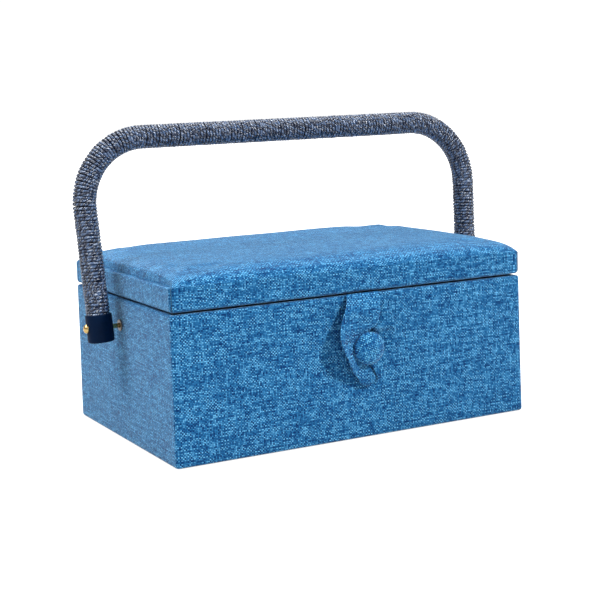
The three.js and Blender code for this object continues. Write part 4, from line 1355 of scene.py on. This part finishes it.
class InsideOperator(bpy.types.Operator):
    """Gives the lining, boards and ledges their finish, and makes the pocket and pincushion in the lid"""

    bl_idname = "sewing_box.inside"
    bl_label = "Lining, boards, pocket and pincushion"

    def execute(self, context):
        s = context.scene.box_inside
        for name in ("body_lining", "lid_lining"):
            paint_node(name, lining())
        for name in ("front_board", "back_board", "left_board", "right_board", "base_board", "lid_board",
                     "lid_front_rail", "lid_back_rail", "lid_left_rail", "lid_right_rail"):
            paint_node(name, fitting_finish("board"))
        for name in ("front_tray_ledge", "back_tray_ledge"):
            paint_node(name, fitting_finish("board"), 0.0004)
        paint_node("button_shank", fitting_finish("plated"), 0.0002)
        cloth = context.scene.box_cloth
        shades = [[c * 0.55 for c in tone] for tone in (cloth.dark, cloth.mid, cloth.light)]
        underside = cloth_material("underside", shades, cloth.yarn_pitch, (1.0, 0.5, 0.1), True)
        paint_node("base_panel", underside, 0.0003)
        self.pocket()
        self.pincushion(s)
        return {"FINISHED"}

    def pocket(self):
        """A gathered pouch on the lid's lining, its elastic mouth to the front."""
        low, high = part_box("lid_pocket")
        uu, vv = np.meshgrid(np.linspace(0, 1, 121), np.linspace(0, 1, 61))
        x = low.x + (high.x - low.x) * uu
        y = low.y + (high.y - low.y) * vv
        edge = np.minimum(np.minimum(uu, 1 - uu) * (high.x - low.x), (1 - vv) * (high.y - low.y))
        room = high.z - low.z - 0.0008
        belly = smooth_step(0, 0.02, edge) * (0.62 + 0.3 * np.sin(math.pi * np.clip(vv * 0.9 + 0.1, 0, 1)))
        short_pleats, long_pleats = 21, 13
        gather = np.sin(uu * 2 * math.pi * short_pleats + 1.6 * np.sin(uu * 17)) * np.exp(-vv * 5.5)
        gather += 0.5 * np.sin(uu * 2 * math.pi * long_pleats + 0.7) * np.exp(-vv * 2.4)
        belly += 0.11 * gather * smooth_step(0, 0.008, edge)
        belly += ripple(np.stack([x, y, 0 * x], axis=-1), 0.016, 5.0) * 0.05 * smooth_step(0, 0.01, edge)
        z = high.z - 0.0005 - room * np.clip(belly, 0.02, 1)
        cloth = np.stack([x, y, z], axis=-1)
        hem = self.hem(cloth[0])
        sheet = np.stack([x * 1.3, y], axis=-1)
        piece = build("lid_pocket_pouch", [(cloth, sheet)])
        material = lining("pocket_cloth", on_boards=False)
        finish_piece(piece, "lid", material, ["lid_pocket"])
        band = build("lid_pocket_hem", [hem])
        finish_piece(band, "lid", material)

    def hem(self, mouth):
        """The elastic band in the pouch's mouth, a soft roll that follows the gathers."""
        turn = np.linspace(0, 2 * math.pi, 13)
        half_width, half_thick, ribs = 0.0022, 0.0011, 0.00018
        run = along(mouth)
        rows = []
        for point, distance in zip(mouth, run):
            swell = half_thick + ribs * math.sin(distance * 1700)
            rows.append([point + [0, half_width * math.cos(a), swell * math.sin(a)] for a in turn])
        grid = np.array(rows)
        grid = np.concatenate([grid[:1].mean(axis=1, keepdims=True) + 0 * grid[:1], grid,
                               grid[-1:].mean(axis=1, keepdims=True) + 0 * grid[-1:]])
        run = np.concatenate([run[:1], run, run[-1:]])
        sheet = np.stack([run[:, None] + 0 * turn, 0.002 * turn + 0 * run[:, None]], axis=-1)
        return grid, sheet

    def pincushion(self, s):
        """A felt pad, stuffed full, with a stitched seam round its base."""
        low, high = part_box("pincushion")
        middle = (low + high) / 2
        half_x, half_y, deep = (high.x - low.x) / 2, (high.y - low.y) / 2, high.z - low.z
        seam, corner, steps = 0.26, 0.008, 12
        base_profile = [(0.0006, 0.0), (0.0002, 0.1), (0.0009, 0.16), (0.0, seam)]
        grid = []
        for inset, fall in base_profile:
            ring = outline(half_x - inset, half_y - inset, corner, (20, 16), 8)
            grid.append(np.column_stack([ring, np.full(len(ring), high.z - fall * deep)]))
        base = grid[-1][:, :2]
        for k in range(1, steps + 1):
            share = 1 - (k / steps) ** 1.6
            z = high.z - deep * (seam + 0.66 * (1 - share**5) ** 0.6)
            grid.append(np.column_stack([base * share, np.full(len(base), z)]))
        grid = np.array(grid) + [middle.x, middle.y, 0]
        piece = build("pincushion_pad", [(grid, grid[..., :2])])
        levels = np.array([v.co.z for v in piece.data.vertices])
        held = levels > high.z - deep * (seam + 0.01)
        inflate(piece, held, pressure=4.0, most=0.0012)
        subdivide(piece)
        settle(piece)
        material, g, shader = finish("felt", Roughness=0.95, Sheen_Weight=0.5, Sheen_Roughness=0.4)
        here = g.node("TexCoord").outputs["Object"]
        matted = g.noise(here, 900.0, 4.0, 0.7)
        deep_felt, pale_felt = [rgba([c * share for c in s.felt]) for share in (0.5, 1.9)]
        g.feed(shader.inputs["Base Color"], g.blend(matted, deep_felt, pale_felt))
        bump(g, shader, matted, 0.0004)
        finish_piece(piece, "lid", material, ["pincushion"])


# --- panel and run -------------------------------------------------------------------------------


OPERATORS = [
    StageOperator, BodyClothOperator, LidOperator, ClosureOperator, HandleOperator, PivotOperator,
    HingeOperator, TrayOperator, InsideOperator,
]


class SewingBoxPanel(bpy.types.Panel):
    """Lists the steps that build the sewing box and the values they use"""

    bl_idname = "VIEW3D_PT_sewing_box"
    bl_label = "Sewing Box"
    bl_space_type = "VIEW_3D"
    bl_region_type = "UI"
    bl_category = "Sewing Box"

    def draw(self, context):
        for operator in OPERATORS:
            self.layout.operator(operator.bl_idname)
        for name, group in SETTINGS.items():
            box = self.layout.box()
            for key in group.__annotations__:
                box.prop(getattr(context.scene, name), key)


def register():
    for group in SETTINGS.values():
        bpy.utils.register_class(group)
    for name, group in SETTINGS.items():
        setattr(bpy.types.Scene, name, bpy.props.PointerProperty(type=group))
    for operator in OPERATORS:
        bpy.utils.register_class(operator)
    bpy.utils.register_class(SewingBoxPanel)


def unregister():
    bpy.utils.unregister_class(SewingBoxPanel)
    for operator in reversed(OPERATORS):
        bpy.utils.unregister_class(operator)
    for name, group in SETTINGS.items():
        delattr(bpy.types.Scene, name)
        bpy.utils.unregister_class(group)


def main():
    register()
    for operator in OPERATORS:
        family, step = operator.bl_idname.split(".")
        getattr(getattr(bpy.ops, family), step)()


if __name__ == "__main__":
    main()
